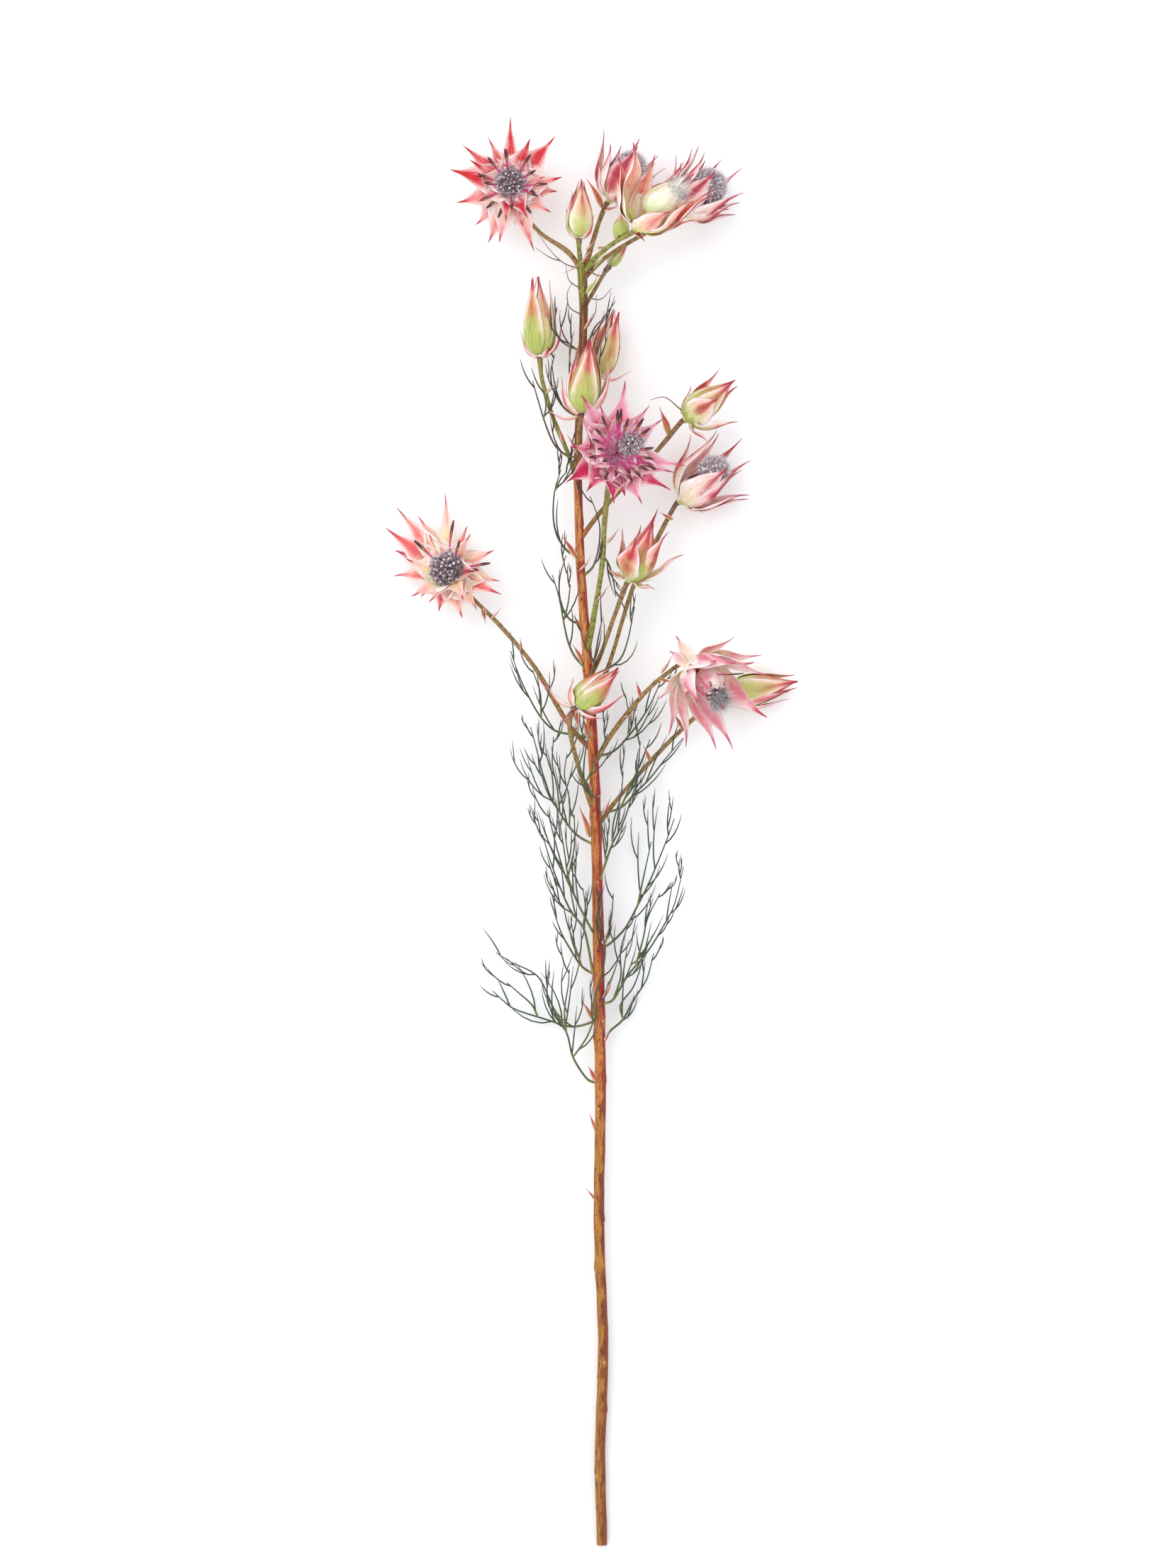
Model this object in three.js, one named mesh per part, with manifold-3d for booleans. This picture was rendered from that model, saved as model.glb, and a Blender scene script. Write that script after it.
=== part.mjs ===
// A cut stem of blushing bride (Serruria florida), lying on its back on a flat surface.
//
// Units are millimetres. The plan is drawn from the cut end of the stem: x runs across the stem, y along
// it towards the flowers, and z up from the surface that it lies on. At the end the whole plan is moved
// so that the origin is the middle of its box, at the surface.
//
// The stem and each side stalk are tapered tubes. A flower head is a ring of pointed bracts on a small
// receptacle, around a dome of florets. A bud is a closed, pointed egg. A leaf is a forked bunch of
// needles. Each of these is a solid of its own, FIT_GAP clear of its neighbours.

import * as THREE from "three";
import { mergeVertices } from "three/addons/utils/BufferGeometryUtils.js";
import Module from "manifold-3d";

const wasm = await Module();
wasm.setup();

const FIT_GAP = 0.3; // between a piece and the one that carries it
const STALK_SIDES = 6;
const STEM_SIDES = 8;
const NEEDLE_SIDES = 3;
const BUD_SIDES = 8;
const DOME_SIDES = 8;
const DOME_STEPS = 4; // stations from the foot of a dome of florets to its top
const BRACT_STEPS = 4; // stations along a bract
const RECEPTACLE_HEIGHT = 3.2;
const RECEPTACLE_RADIUS = 3;
const STALK_TIP_RADIUS = 0.9;

// ---------------------------------------------------------------- colours

const material = (color, roughness) => new THREE.MeshStandardMaterial({ color, roughness, metalness: 0 });
const BARK = material("#a5582f", 0.75);
const STALK = material("#a08a55", 0.7);
const BRACT = material("#eeb0ae", 0.6);
const FLORET = material("#8d7781", 0.95);
const BUD = material("#c9c76e", 0.6);
const LEAF = material("#56674c", 0.65);

// ---------------------------------------------------------------- shapes

const vector = (xyz) => new THREE.Vector3(...xyz);

// The value at share u of a list of evenly spaced values, eased from each to the next.
function eased(values, u) {
  const place = Math.min(u, 0.999999) * (values.length - 1);
  const low = Math.floor(place);
  return THREE.MathUtils.lerp(values[low], values[low + 1], THREE.MathUtils.smoothstep(place - low, 0, 1));
}

// An even spread of values from -1 to 1, different for each whole number, by steps of the golden ratio.
const spread = (number) => 2 * ((number * 0.6180339887) % 1) - 1;

// A closed skin over rings of points that turn anticlockwise, seen from the far end.
function loft(rings) {
  const sides = rings[0].length;
  const last = (rings.length - 1) * sides;
  const index = [];
  for (let start = 0; start < last; start += sides)
    for (let side = 0; side < sides; side++) {
      const here = start + side;
      const next = start + ((side + 1) % sides);
      index.push(here, next, next + sides, here, next + sides, here + sides);
    }
  for (let side = 1; side + 1 < sides; side++)
    index.push(0, side + 1, side, last, last + side, last + side + 1);
  const corners = rings.flat().flatMap((point) => point.toArray());
  return new THREE.BufferGeometry()
    .setAttribute("position", new THREE.Float32BufferAttribute(corners, 3))
    .setIndex(index);
}

// A tube along a smooth route of [x, y, z, radius] points.
function tube(route, sides, stepsPerSpan) {
  const curve = new THREE.CatmullRomCurve3(route.map(([x, y, z]) => new THREE.Vector3(x, y, z)));
  const radii = route.map((point) => point[3]);
  const steps = (route.length - 1) * stepsPerSpan;
  let across = new THREE.Vector3(0, 0, 1);
  const rings = [];
  for (let step = 0; step <= steps; step++) {
    const share = step / steps;
    const middle = curve.getPoint(share);
    const along = curve.getTangent(share);
    across = across.clone().addScaledVector(along, -across.dot(along)).normalize();
    const beside = new THREE.Vector3().crossVectors(along, across);
    const radius = eased(radii, share);
    rings.push(
      Array.from({ length: sides }, (_, side) => {
        const turn = (2 * Math.PI * side) / sides;
        return middle
          .clone()
          .addScaledVector(across, radius * Math.cos(turn))
          .addScaledVector(beside, radius * Math.sin(turn));
      }),
    );
  }
  return loft(rings);
}

// ---------------------------------------------------------------- joins and cuts

// A closed geometry as a solid that can be joined and cut.
function solid(geometry) {
  const bare = geometry.clone();
  bare.deleteAttribute("normal");
  bare.deleteAttribute("uv");
  const merged = mergeVertices(bare, 1e-4);
  return new wasm.Manifold(
    new wasm.Mesh({
      numProp: 3,
      vertProperties: merged.attributes.position.array,
      triVerts: new Uint32Array(merged.index.array),
    }),
  );
}

// The largest single body of a solid, as a geometry.
function geometryOf(made) {
  const body = made.decompose().reduce((most, piece) => (piece.volume() > most.volume() ? piece : most));
  const mesh = body.getMesh();
  return new THREE.BufferGeometry()
    .setAttribute("position", new THREE.BufferAttribute(mesh.vertProperties, 3))
    .setIndex(new THREE.BufferAttribute(mesh.triVerts, 1));
}

const join = (geometries) => geometries.map(solid).reduce((sum, next) => sum.add(next));

// Nothing reaches below the surface that the stem lies on: what would is pressed flat there.
const aboveSurface = (made) => made.trimByPlane([0, 0, 1], 0);

const stemOfFlowers = new THREE.Group();

function addPiece(name, made, finish) {
  const mesh = new THREE.Mesh(geometryOf(aboveSurface(made)), finish);
  mesh.name = name;
  stemOfFlowers.add(mesh);
}

// ---------------------------------------------------------------- main stem

// Woody and slightly wavy. It lies on its cut end and rises towards the crown, held up by the heads.
const STEM_ROUTE = [
  [0, 0, 2.3, 2.3],
  [-0.5, 38, 3.4, 2.5],
  [0.8, 82, 4.6, 2.4],
  [-0.9, 132, 6.2, 2.4],
  [0, 180, 7.8, 2.4],
  [-0.6, 225, 9.2, 2.5],
  [-1.6, 270, 10.8, 2.3],
  [-2.8, 315, 12.4, 2.2],
  [-5.2, 358, 14, 2.1],
  [-8.4, 400, 15.8, 1.9],
  [-9.2, 445, 18, 1.8],
  [-7.4, 490, 20.2, 1.7],
  [-7.8, 512, 21.4, 1.9],
  [-8.2, 526, 22.2, 2.1],
];
const stemGeometry = tube(STEM_ROUTE, STEM_SIDES, 2);
addPiece("main_stem", solid(stemGeometry), BARK);

// The stem with the fit gap around it, which is cut from whatever grows out of it.
const stemClearance = solid(
  tube(
    STEM_ROUTE.map(([x, y, z, radius]) => [x, y, z, radius + FIT_GAP]),
    STEM_SIDES,
    2,
  ),
);

// ---------------------------------------------------------------- flower heads

// A bract's half width at share u of its length, as a share of its widest: a broad foot that narrows
// to a fine tip.
const bractWidth = (u) => Math.sin(Math.PI * Math.min(1, 0.1 + 1.05 * u)) ** 0.8 * (1 - 0.25 * u);
const KEEL = 0.24; // how deep a bract's keel is, as a share of its half width

// One bract as a thin solid with a keel outside. It leaves the receptacle `start` from the axis and
// `rise` up it, and its midrib leans from the axis by the angles in `leans`, from its foot to its tip.
function bract({ length, halfWidth, leans, start, rise }, turn) {
  const around = new THREE.Vector3(Math.cos(turn), Math.sin(turn), 0);
  const beside = new THREE.Vector3(-Math.sin(turn), Math.cos(turn), 0);
  const stride = length / BRACT_STEPS;
  let out = start;
  let up = rise;
  const rings = [];
  for (let step = 0; step <= BRACT_STEPS; step++) {
    const share = step / BRACT_STEPS;
    const lean = THREE.MathUtils.degToRad(eased(leans, share));
    const half = Math.max(halfWidth * bractWidth(share), 0.12);
    const rib = around.clone().multiplyScalar(out).setZ(up);
    const inward = around.clone().multiplyScalar(-Math.cos(lean)).setZ(Math.sin(lean));
    const edge = rib.clone().addScaledVector(inward, KEEL * half + 0.1);
    rings.push([
      edge.clone().addScaledVector(beside, half),
      edge.clone().addScaledVector(beside, -half),
      rib,
    ]);
    out += stride * Math.sin(lean);
    up += stride * Math.cos(lean);
  }
  return loft(rings);
}

// How far each kind of head has opened. Whorls run from the outermost inwards, and the dome is the
// mass of florets: its radius and its height above the receptacle.
const KINDS = {
  open: {
    whorls: [
      { count: 6, length: 25, halfWidth: 4.6, leans: [82, 84, 80, 70], start: 1.4, rise: 1.2 },
      { count: 5, length: 21, halfWidth: 4.2, leans: [70, 70, 68, 60], start: 1.2, rise: 2.2 },
    ],
    dome: [5.6, 10],
  },
  cup: {
    whorls: [
      { count: 5, length: 26, halfWidth: 5.2, leans: [88, 48, 22, 40], start: 1.4, rise: 1 },
      { count: 5, length: 25, halfWidth: 5, leans: [86, 36, 8, 24], start: 1.2, rise: 2 },
    ],
    dome: [6.4, 15],
  },
  closed: {
    whorls: [
      { count: 5, length: 24, halfWidth: 5, leans: [88, 62, 42, 50], start: 1.4, rise: 0.8 },
      { count: 5, length: 22, halfWidth: 5, leans: [80, 44, 16, 20], start: 1.2, rise: 1.8 },
    ],
    dome: [5.4, 17],
  },
};

// Where the foot of each head's receptacle is, the way that the head faces, its kind, and its size.
const HEADS = {
  crown_left: { foot: [-37, 556, 15], faces: [0, 0.14, 1], kind: "open", size: 0.95, turn: 0.2 },
  crown_middle: { foot: [3, 551, 13], faces: [0.55, 0.8, 0.2], kind: "cup", size: 0.9, turn: 0 },
  crown_front: { foot: [13.6, 537.6, 36], faces: [0.6, 0.6, 0.5], kind: "closed", size: 1.05, turn: 0.4 },
  crown_right: { foot: [32, 546, 12.4], faces: [0.72, 0.66, 0.22], kind: "cup", size: 1, turn: 0.3 },
  middle_open: { foot: [5, 446, 32], faces: [0.3, 0.2, 1], kind: "open", size: 1, turn: 0.1 },
  right_upper: { foot: [34, 461, 22], faces: [0.8, 0.6, 0.12], kind: "closed", size: 0.92, turn: 0 },
  right_middle: { foot: [32, 428, 13], faces: [0.72, 0.64, 0.24], kind: "cup", size: 1, turn: 0.5 },
  right_lower: { foot: [11, 395, 27], faces: [0.48, 0.8, 0.32], kind: "closed", size: 0.84, turn: 0.2 },
  left_open: { foot: [-60.5, 397, 12], faces: [-0.42, 0.4, 0.82], kind: "open", size: 1.1, turn: 0.3 },
  low_right: { foot: [36, 361, 25], faces: [0.6, -0.62, 0.5], kind: "closed", size: 1.06, turn: 0.1 },
};

// A shape drawn around the z axis, moved to a foot and turned to face a direction.
function place(geometry, foot, faces, size = 1) {
  const upright = new THREE.Vector3(0, 0, 1);
  const facing = new THREE.Quaternion().setFromUnitVectors(upright, vector(faces).normalize());
  return geometry.clone().scale(size, size, size).applyQuaternion(facing).translate(...foot);
}

// A solid of revolution from [radius, height] points that start and end on the axis.
const turned = (profile, sides) =>
  new THREE.LatheGeometry(
    profile.map(([radius, height]) => new THREE.Vector2(radius, height)),
    sides,
  ).rotateX(Math.PI / 2);

// The outline of a dome of florets, fuller above its middle, over `base` from the foot.
function domeProfile(radius, height, base, swell) {
  const outline = [[0, base - swell]];
  for (let step = 0; step <= DOME_STEPS; step++) {
    const bend = (Math.PI / 2) * (step / DOME_STEPS);
    const waist = step ? 1 : 0.72;
    const out = step < DOME_STEPS ? (radius + swell) * waist * Math.cos(bend) ** 0.7 : 0;
    outline.push([out, base - (step ? 0 : swell) + (height + (step ? swell : 0)) * Math.sin(bend)]);
  }
  return outline;
}

for (const [name, { foot, faces, kind, size, turn }] of Object.entries(HEADS)) {
  const { whorls, dome } = KINDS[kind];
  const receptacle = turned(
    [
      [0, FIT_GAP],
      [STALK_TIP_RADIUS, FIT_GAP],
      [RECEPTACLE_RADIUS, RECEPTACLE_HEIGHT - 1],
      [RECEPTACLE_RADIUS - 0.4, RECEPTACLE_HEIGHT],
      [0, RECEPTACLE_HEIGHT],
    ],
    DOME_SIDES,
  );
  const bracts = whorls.flatMap((whorl, ring) =>
    Array.from({ length: whorl.count }, (_, number) => {
      const seat = number + ring / 2 + 0.12 * spread(number + 7 * ring);
      return bract(whorl, turn + (2 * Math.PI * seat) / whorl.count);
    }),
  );
  const base = RECEPTACLE_HEIGHT + FIT_GAP;
  const florets = turned(domeProfile(dome[0], dome[1], base, 0), DOME_SIDES);
  const room = turned(domeProfile(dome[0], dome[1], base, FIT_GAP - 0.05), DOME_SIDES);
  const cup = join([receptacle, ...bracts].map((piece) => place(piece, foot, faces, size)));
  addPiece(`${name}_bracts`, cup.subtract(solid(place(room, foot, faces, size))), BRACT);
  addPiece(`${name}_florets`, solid(place(florets, foot, faces, size)), FLORET);
}

// ---------------------------------------------------------------- buds

// Each bud's foot, tip and greatest radius.
const BUDS = {
  bud_crown: { foot: [-9, 535, 25], tip: [-7.5, 558, 26], radius: 5 },
  bud_crown_green: { foot: [6.4, 534.4, 29.4], tip: [10.8, 546, 25.5], radius: 2.3 },
  bud_crown_small: { foot: [3.4, 524.5, 13], tip: [10.5, 533, 12], radius: 2 },
  bud_left: { foot: [-25, 487, 19], tip: [-26.5, 517.5, 20], radius: 5.3 },
  bud_behind: { foot: [-1, 480, 11], tip: [7.2, 505, 10], radius: 4.6 },
  bud_front: { foot: [-8, 463, 29], tip: [-3, 492, 30], radius: 5.8 },
  bud_low_front: { foot: [-10, 344, 25], tip: [6.8, 360, 26], radius: 5.8 },
  bud_low_right: { foot: [52, 349, 6.2], tip: [79, 357, 6], radius: 5.6 },
};

// A bud's radius up its length, as a share of its greatest: full near the foot, drawn out at the tip.
const BUD_OUTLINE = [0.35, 0.84, 1, 0.93, 0.72, 0.42, 0.18];

for (const [name, { foot, tip, radius }] of Object.entries(BUDS)) {
  const along = vector(tip).sub(vector(foot));
  const length = along.length();
  const profile = BUD_OUTLINE.map((share, step) => [
    radius * share,
    FIT_GAP + ((length - FIT_GAP) * step) / BUD_OUTLINE.length,
  ]);
  const outline = [[0, FIT_GAP], ...profile, [0, length]];
  addPiece(name, solid(place(turned(outline, BUD_SIDES), foot, along.toArray())), BUD);
}

// ---------------------------------------------------------------- side stalks

// Each runs from inside the stem, where it is cut back to the fit gap, to the foot of what it carries,
// which it meets square on.
const APPROACH = 2.6; // the straight end of a stalk, below its head or bud
const STALKS = {
  crown_left: [[-8.6, 523, 22, 1.1], [-14, 530, 20.5, 1], [-25, 538, 15, 0.9], [-33, 548, 11, 0.9]],
  crown_middle: [[-6.6, 524, 21.5, 1.2], [-4, 532, 19.5, 1.1], [-1, 542, 15, 0.9]],
  crown_front: [[-6.8, 522, 22.5, 1.2], [-1, 528, 26.6, 1], [6, 533, 31, 0.9]],
  crown_right: [[-7, 519, 20.4, 1.1], [1, 527, 17.5, 0.9], [13, 535, 14, 0.9]],
  middle_open: [[-6, 364, 14.2, 1.2], [-3.2, 380, 18.4, 1.1], [0.4, 402, 21, 1.1], [1.4, 420, 24, 1.1]],
  right_upper: [[-9, 412, 17, 1.1], [0, 424, 17, 0.9], [13, 438, 17, 0.9], [24, 450, 19, 0.9]],
  right_middle: [[-4.8, 345, 12.6, 1.1], [3, 361, 11.6, 0.9], [13, 393, 11.6, 0.9], [23, 413, 12, 0.9]],
  right_lower: [[-5.2, 355, 14.2, 1.1], [0, 366, 20, 0.9], [5, 380, 24, 0.9]],
  left_open: [
    [-3.6, 326, 12.6, 1.2], [-14, 338, 12.4, 1], [-27, 360, 10.6, 0.9], [-41, 377, 9, 0.9],
    [-53, 389, 8.2, 0.9],
  ],
  low_right: [[-3.4, 320, 13, 1.2], [5, 334, 17, 1], [18, 350, 21, 0.9], [28, 358.6, 23, 0.9]],
  bud_crown: [[-8.4, 524, 22.6, 1.2], [-9, 530, 24, 0.9]],
  bud_crown_small: [[-7.4, 506, 20.4, 1], [-3, 514, 16, 0.8], [1, 521, 14, 0.8]],
  bud_left: [[-9.4, 434, 17.4, 1.1], [-13.4, 447, 18, 0.9], [-20, 463, 18.4, 0.9], [-24, 477, 18.6, 0.9]],
  bud_behind: [[-8.4, 462, 18, 1], [-6, 469, 13.6, 0.8]],
  bud_front: [[-9, 444, 18.6, 1.1], [-9.4, 452, 23, 0.9]],
  bud_low_front: [[-2.4, 300, 12, 1.1], [-7, 312, 16.4, 0.9], [-12.6, 333, 23, 0.9]],
  bud_low_right: [[-2.6, 294, 11.4, 1.1], [8, 308, 8.4, 0.9], [26, 328, 6.6, 0.9], [42, 343, 6, 0.9]],
};

for (const [name, route] of Object.entries(STALKS)) {
  const carried = HEADS[name] ?? BUDS[name];
  const facing = carried.faces ?? vector(carried.tip).sub(vector(carried.foot)).toArray();
  const approach = vector(carried.foot).addScaledVector(vector(facing).normalize(), -APPROACH);
  const ends = [approach.toArray(), carried.foot].map((point) => [...point, STALK_TIP_RADIUS]);
  const made = solid(tube([...route, ...ends], STALK_SIDES, 1));
  addPiece(`${name}_stalk`, made.subtract(stemClearance), STALK);
}

// ---------------------------------------------------------------- leaves

// A leaf's axis, from inside the stem to its longest tip, and how many pairs of needles fork from it.
const LEAVES = {
  leaf_low_left: {
    axis: [
      [-1, 189.5, 8], [-8, 194, 10], [-13, 207, 13], [-19, 219, 16], [-29, 233, 20], [-42, 243, 22],
    ],
    pairs: 3,
  },
  leaf_low_left_flat: {
    axis: [
      [-1.6, 215.4, 9], [-9, 212.6, 6], [-18, 214, 4], [-28, 217, 3], [-36, 220.6, 2.6],
      [-45, 227.6, 3],
    ],
    pairs: 3,
  },
  leaf_low_right: {
    axis: [
      [-0.4, 207, 8.6], [4, 211.5, 6], [10, 218, 4], [13.6, 225, 3.4], [18, 233, 4], [22, 245, 5],
    ],
    pairs: 3,
  },
  leaf_low_right_long: {
    axis: [
      [-0.6, 222, 10], [5, 225, 13], [13, 236, 18], [21, 250, 22], [29, 265, 24], [35, 280, 25],
    ],
    pairs: 4,
  },
  leaf_left_fan: {
    axis: [
      [-2, 234, 9.6], [-8, 238, 10], [-12, 244.5, 10], [-16, 251, 9.6], [-19.5, 261, 9],
    ],
    pairs: 3,
  },
  leaf_right_tall: {
    axis: [
      [-1, 246, 9.6], [6, 249.4, 7.6], [12, 258, 6], [18, 271, 5.6], [24, 285, 6], [31, 299, 7],
    ],
    pairs: 4,
  },
  leaf_left_tall: {
    axis: [
      [-2, 247, 11], [-6, 255, 16], [-11, 268, 21], [-16, 282, 25], [-19.6, 297, 27], [-20, 309, 28],
    ],
    pairs: 4,
  },
  leaf_left_upper: {
    axis: [
      [-2.4, 287.4, 11.4], [-9, 291, 11], [-16, 297, 10], [-20, 307, 9.4], [-24, 317, 9],
      [-29.4, 336.6, 9],
    ],
    pairs: 3,
  },
  leaf_right_inner: {
    axis: [
      [-1.6, 274, 11.4], [3.4, 286, 16], [8, 296, 20], [12, 306, 22], [14, 317, 23],
    ],
    pairs: 3,
  },
  leaf_right_upper: {
    axis: [
      [-2.2, 301, 12.4], [8, 305, 16], [18, 314, 15], [26, 322.6, 15], [34, 332.4, 14],
    ],
    pairs: 3,
  },
  leaf_fork_front: {
    axis: [
      [-2.8, 309, 13], [-5.6, 313, 20], [-8, 321, 25], [-6, 326, 27], [-5, 335, 28],
    ],
    pairs: 2,
  },
  leaf_high_right: {
    axis: [
      [-3.4, 323, 12], [4, 325.4, 9.6], [12, 333, 8], [20, 344, 7.6], [25.4, 356.6, 8],
    ],
    pairs: 2,
  },
  leaf_high_left: {
    axis: [
      [-3.8, 331, 13.6], [-18, 334.4, 16], [-26, 342, 17], [-33, 354, 17], [-38.4, 371, 17],
    ],
    pairs: 2,
  },
  leaf_upper_left: {
    axis: [
      [-8.4, 404, 16], [-15.6, 408, 17], [-19.4, 420, 18], [-18.4, 433, 19], [-15, 447, 20],
    ],
    pairs: 2,
  },
};
const NEEDLE_RADIUS = 0.55;
const NEEDLE_TIP_RADIUS = 0.3;

// A needle that leaves `from` along `away` and bends towards `along`, forking once on the way.
function needle(from, away, along, length) {
  const bend = from.clone().addScaledVector(away, length * 0.45);
  const end = bend.clone().addScaledVector(along, length * 0.6);
  const stations = [from, bend, end];
  return tube(
    stations.map((point, number) => [...point.toArray(), number < 2 ? NEEDLE_RADIUS : NEEDLE_TIP_RADIUS]),
    NEEDLE_SIDES,
    1,
  );
}

for (const [name, { axis, pairs }] of Object.entries(LEAVES)) {
  const curve = new THREE.CatmullRomCurve3(axis.map(vector));
  const rachis = tube(
    axis.map((point, number) => [...point, 0.8 - (0.4 * number) / (axis.length - 1)]),
    NEEDLE_SIDES + 1,
    1,
  );
  const needles = [];
  for (let number = 0; number < 2 * pairs; number++) {
    const share = 0.3 + (0.62 * number) / (2 * pairs);
    const hand = number % 2 ? 1 : -1;
    const along = curve.getTangent(share);
    const flat = new THREE.Vector3(along.y, -along.x, 0).normalize();
    const away = along
      .clone()
      .addScaledVector(flat, 0.75 * hand)
      .add(new THREE.Vector3(0, 0, 0.25 * spread(number)))
      .normalize();
    const onward = along.clone().add(new THREE.Vector3(0, 0.9, 0.1 * spread(number + 3))).normalize();
    const length = 17 - 7 * share + 2 * spread(number + 5);
    needles.push(needle(curve.getPoint(share), away, onward, length));
  }
  addPiece(name, join([rachis, ...needles]).subtract(stemClearance), LEAF);
}

// ---------------------------------------------------------------- origin

// The origin is the middle of the box that holds it all, on the surface that it lies on.
const box = new THREE.Box3().setFromObject(stemOfFlowers);
const middle = box.getCenter(new THREE.Vector3());
stemOfFlowers.position.set(-middle.x, -middle.y, -box.min.z);

export default stemOfFlowers;
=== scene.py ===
import math

import bpy
import numpy as np
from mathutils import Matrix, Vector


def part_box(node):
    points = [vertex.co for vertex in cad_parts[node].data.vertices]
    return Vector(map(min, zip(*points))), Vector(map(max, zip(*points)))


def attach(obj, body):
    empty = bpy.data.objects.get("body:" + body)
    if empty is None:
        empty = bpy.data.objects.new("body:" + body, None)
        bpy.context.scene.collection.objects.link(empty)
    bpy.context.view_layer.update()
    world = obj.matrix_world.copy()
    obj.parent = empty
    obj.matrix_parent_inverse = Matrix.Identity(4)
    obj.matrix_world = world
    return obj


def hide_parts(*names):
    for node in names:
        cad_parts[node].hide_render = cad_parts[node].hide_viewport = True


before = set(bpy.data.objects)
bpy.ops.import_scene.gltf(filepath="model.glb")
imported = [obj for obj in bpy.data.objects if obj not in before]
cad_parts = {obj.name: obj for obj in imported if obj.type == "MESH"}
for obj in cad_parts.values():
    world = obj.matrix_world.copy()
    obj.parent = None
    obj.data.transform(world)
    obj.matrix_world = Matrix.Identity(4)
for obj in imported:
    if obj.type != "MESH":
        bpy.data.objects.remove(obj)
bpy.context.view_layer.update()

MM = 0.001


# ---------------------------------------------------------------- floor, light and camera
# The cut stem lies on a plain pale tabletop, under a wide white softbox and a bright white room. The
# camera hangs over it on a long lens and looks straight down, with the flowers at the top.

FRAME_TALL = 641 * MM  # how much of the tabletop the view takes in, from top to bottom
FRAME_MIDDLE = (-5.4, 312.6)  # in the plan, in millimetres from the stem's cut end
CAMERA_HEIGHT = 2.6
HEADS_HEIGHT = 15 * MM  # the height at which that is measured


def node_points(name):
    """The different corner points of a CAD node, as an array."""
    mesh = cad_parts[name].data
    flat = np.empty(len(mesh.vertices) * 3, np.float32)
    mesh.vertices.foreach_get("co", flat)
    return np.unique(flat.reshape(-1, 3).round(6), axis=0).astype(float)


stem_points = node_points("main_stem")
cut_end = stem_points[stem_points[:, 1] < stem_points[:, 1].min() + 0.5 * MM].mean(axis=0)
PLAN_ORIGIN = np.array([cut_end[0], cut_end[1], 0.0])


def plan(points):
    """Plan points in millimetres, from the cut end and up from the table, as points of the frame."""
    return np.asarray(points, float) * MM + PLAN_ORIGIN


def paint(colour):
    """A web colour such as #ffaa00 as linear red, green, blue and alpha."""
    shown = np.array([int(colour[place:place + 2], 16) for place in (1, 3, 5)]) / 255
    linear = np.where(shown <= 0.04045, shown / 12.92, ((shown + 0.055) / 1.055) ** 2.4)
    return (*linear, 1.0)


scene = bpy.context.scene
scene.view_settings.view_transform = "Standard"

room = bpy.data.worlds.new("white_room")
room.use_nodes = True
room.node_tree.nodes["Background"].inputs["Color"].default_value = paint("#f7fbff")
room.node_tree.nodes["Background"].inputs["Strength"].default_value = 1.2
scene.world = room

softbox = bpy.data.lights.new("softbox", "AREA")
softbox.shape = "RECTANGLE"
softbox.size, softbox.size_y = 1.5, 1.5
softbox.energy = 12
softbox.color = paint("#fffaf2")[:3]
softbox_rig = bpy.data.objects.new("softbox", softbox)
softbox_rig.location = (-0.9, 0.9, 1.9)
softbox_rig.rotation_euler = (math.radians(-25), math.radians(-25), 0)
scene.collection.objects.link(softbox_rig)

lens = bpy.data.cameras.new("camera")
lens.sensor_width = 36
lens.lens = lens.sensor_width * (CAMERA_HEIGHT - HEADS_HEIGHT) / FRAME_TALL
camera = bpy.data.objects.new("camera", lens)
camera.location = plan([*FRAME_MIDDLE, 0]) + [0, 0, CAMERA_HEIGHT]
scene.collection.objects.link(camera)
scene.camera = camera

table_mesh = bpy.data.meshes.new("tabletop")
TABLE_HALF = 3.0
table_mesh.from_pydata(
    [(x * TABLE_HALF, y * TABLE_HALF, 0) for x, y in ((-1, -1), (1, -1), (1, 1), (-1, 1))], [], [(0, 1, 2, 3)]
)
tabletop = bpy.data.objects.new("tabletop", table_mesh)
scene.collection.objects.link(tabletop)
table_paint = bpy.data.materials.new("table_paint")
table_paint.use_nodes = True
table_paint.node_tree.nodes["Principled BSDF"].inputs["Base Color"].default_value = paint("#fbfbfb")
table_paint.node_tree.nodes["Principled BSDF"].inputs["Roughness"].default_value = 0.9
table_mesh.materials.append(table_paint)


# ---------------------------------------------------------------- main stem
# The woody main stem: thin bark over wood, cut square at its foot. Scars and stubs of the leaves that
# were pulled off mark it, and it turns from olive brown through brick red to green at the crown.

STEM_ROUTE = [
    [0.3, 0, 2.3, 2.15], [-0.5, 38, 3.4, 2.15], [0.8, 82, 4.6, 2.1], [-0.8, 132, 6.2, 2.15],
    [-0.2, 180, 7.8, 2.2], [-0.8, 225, 9.2, 2.3], [-1.6, 270, 10.8, 2.2], [-2.9, 315, 12.4, 2.1],
    [-5.3, 358, 14, 2.05], [-8.3, 400, 15.8, 1.8], [-9.4, 445, 18, 1.65], [-7.5, 490, 20.2, 1.6],
    [-7.2, 512, 21.4, 1.8], [-8.2, 526, 22.2, 2.1],
]
SCARS = [8, 29, 55, 68, 76, 88, 113, 133, 162, 180, 190, 208, 216, 225, 236, 247, 256, 273, 291, 298,
         308, 324, 331, 345, 358, 375, 392, 405, 418, 434, 446, 463, 480, 491, 506, 514]
GOLDEN_TURN = math.pi * (3 - math.sqrt(5))


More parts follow.
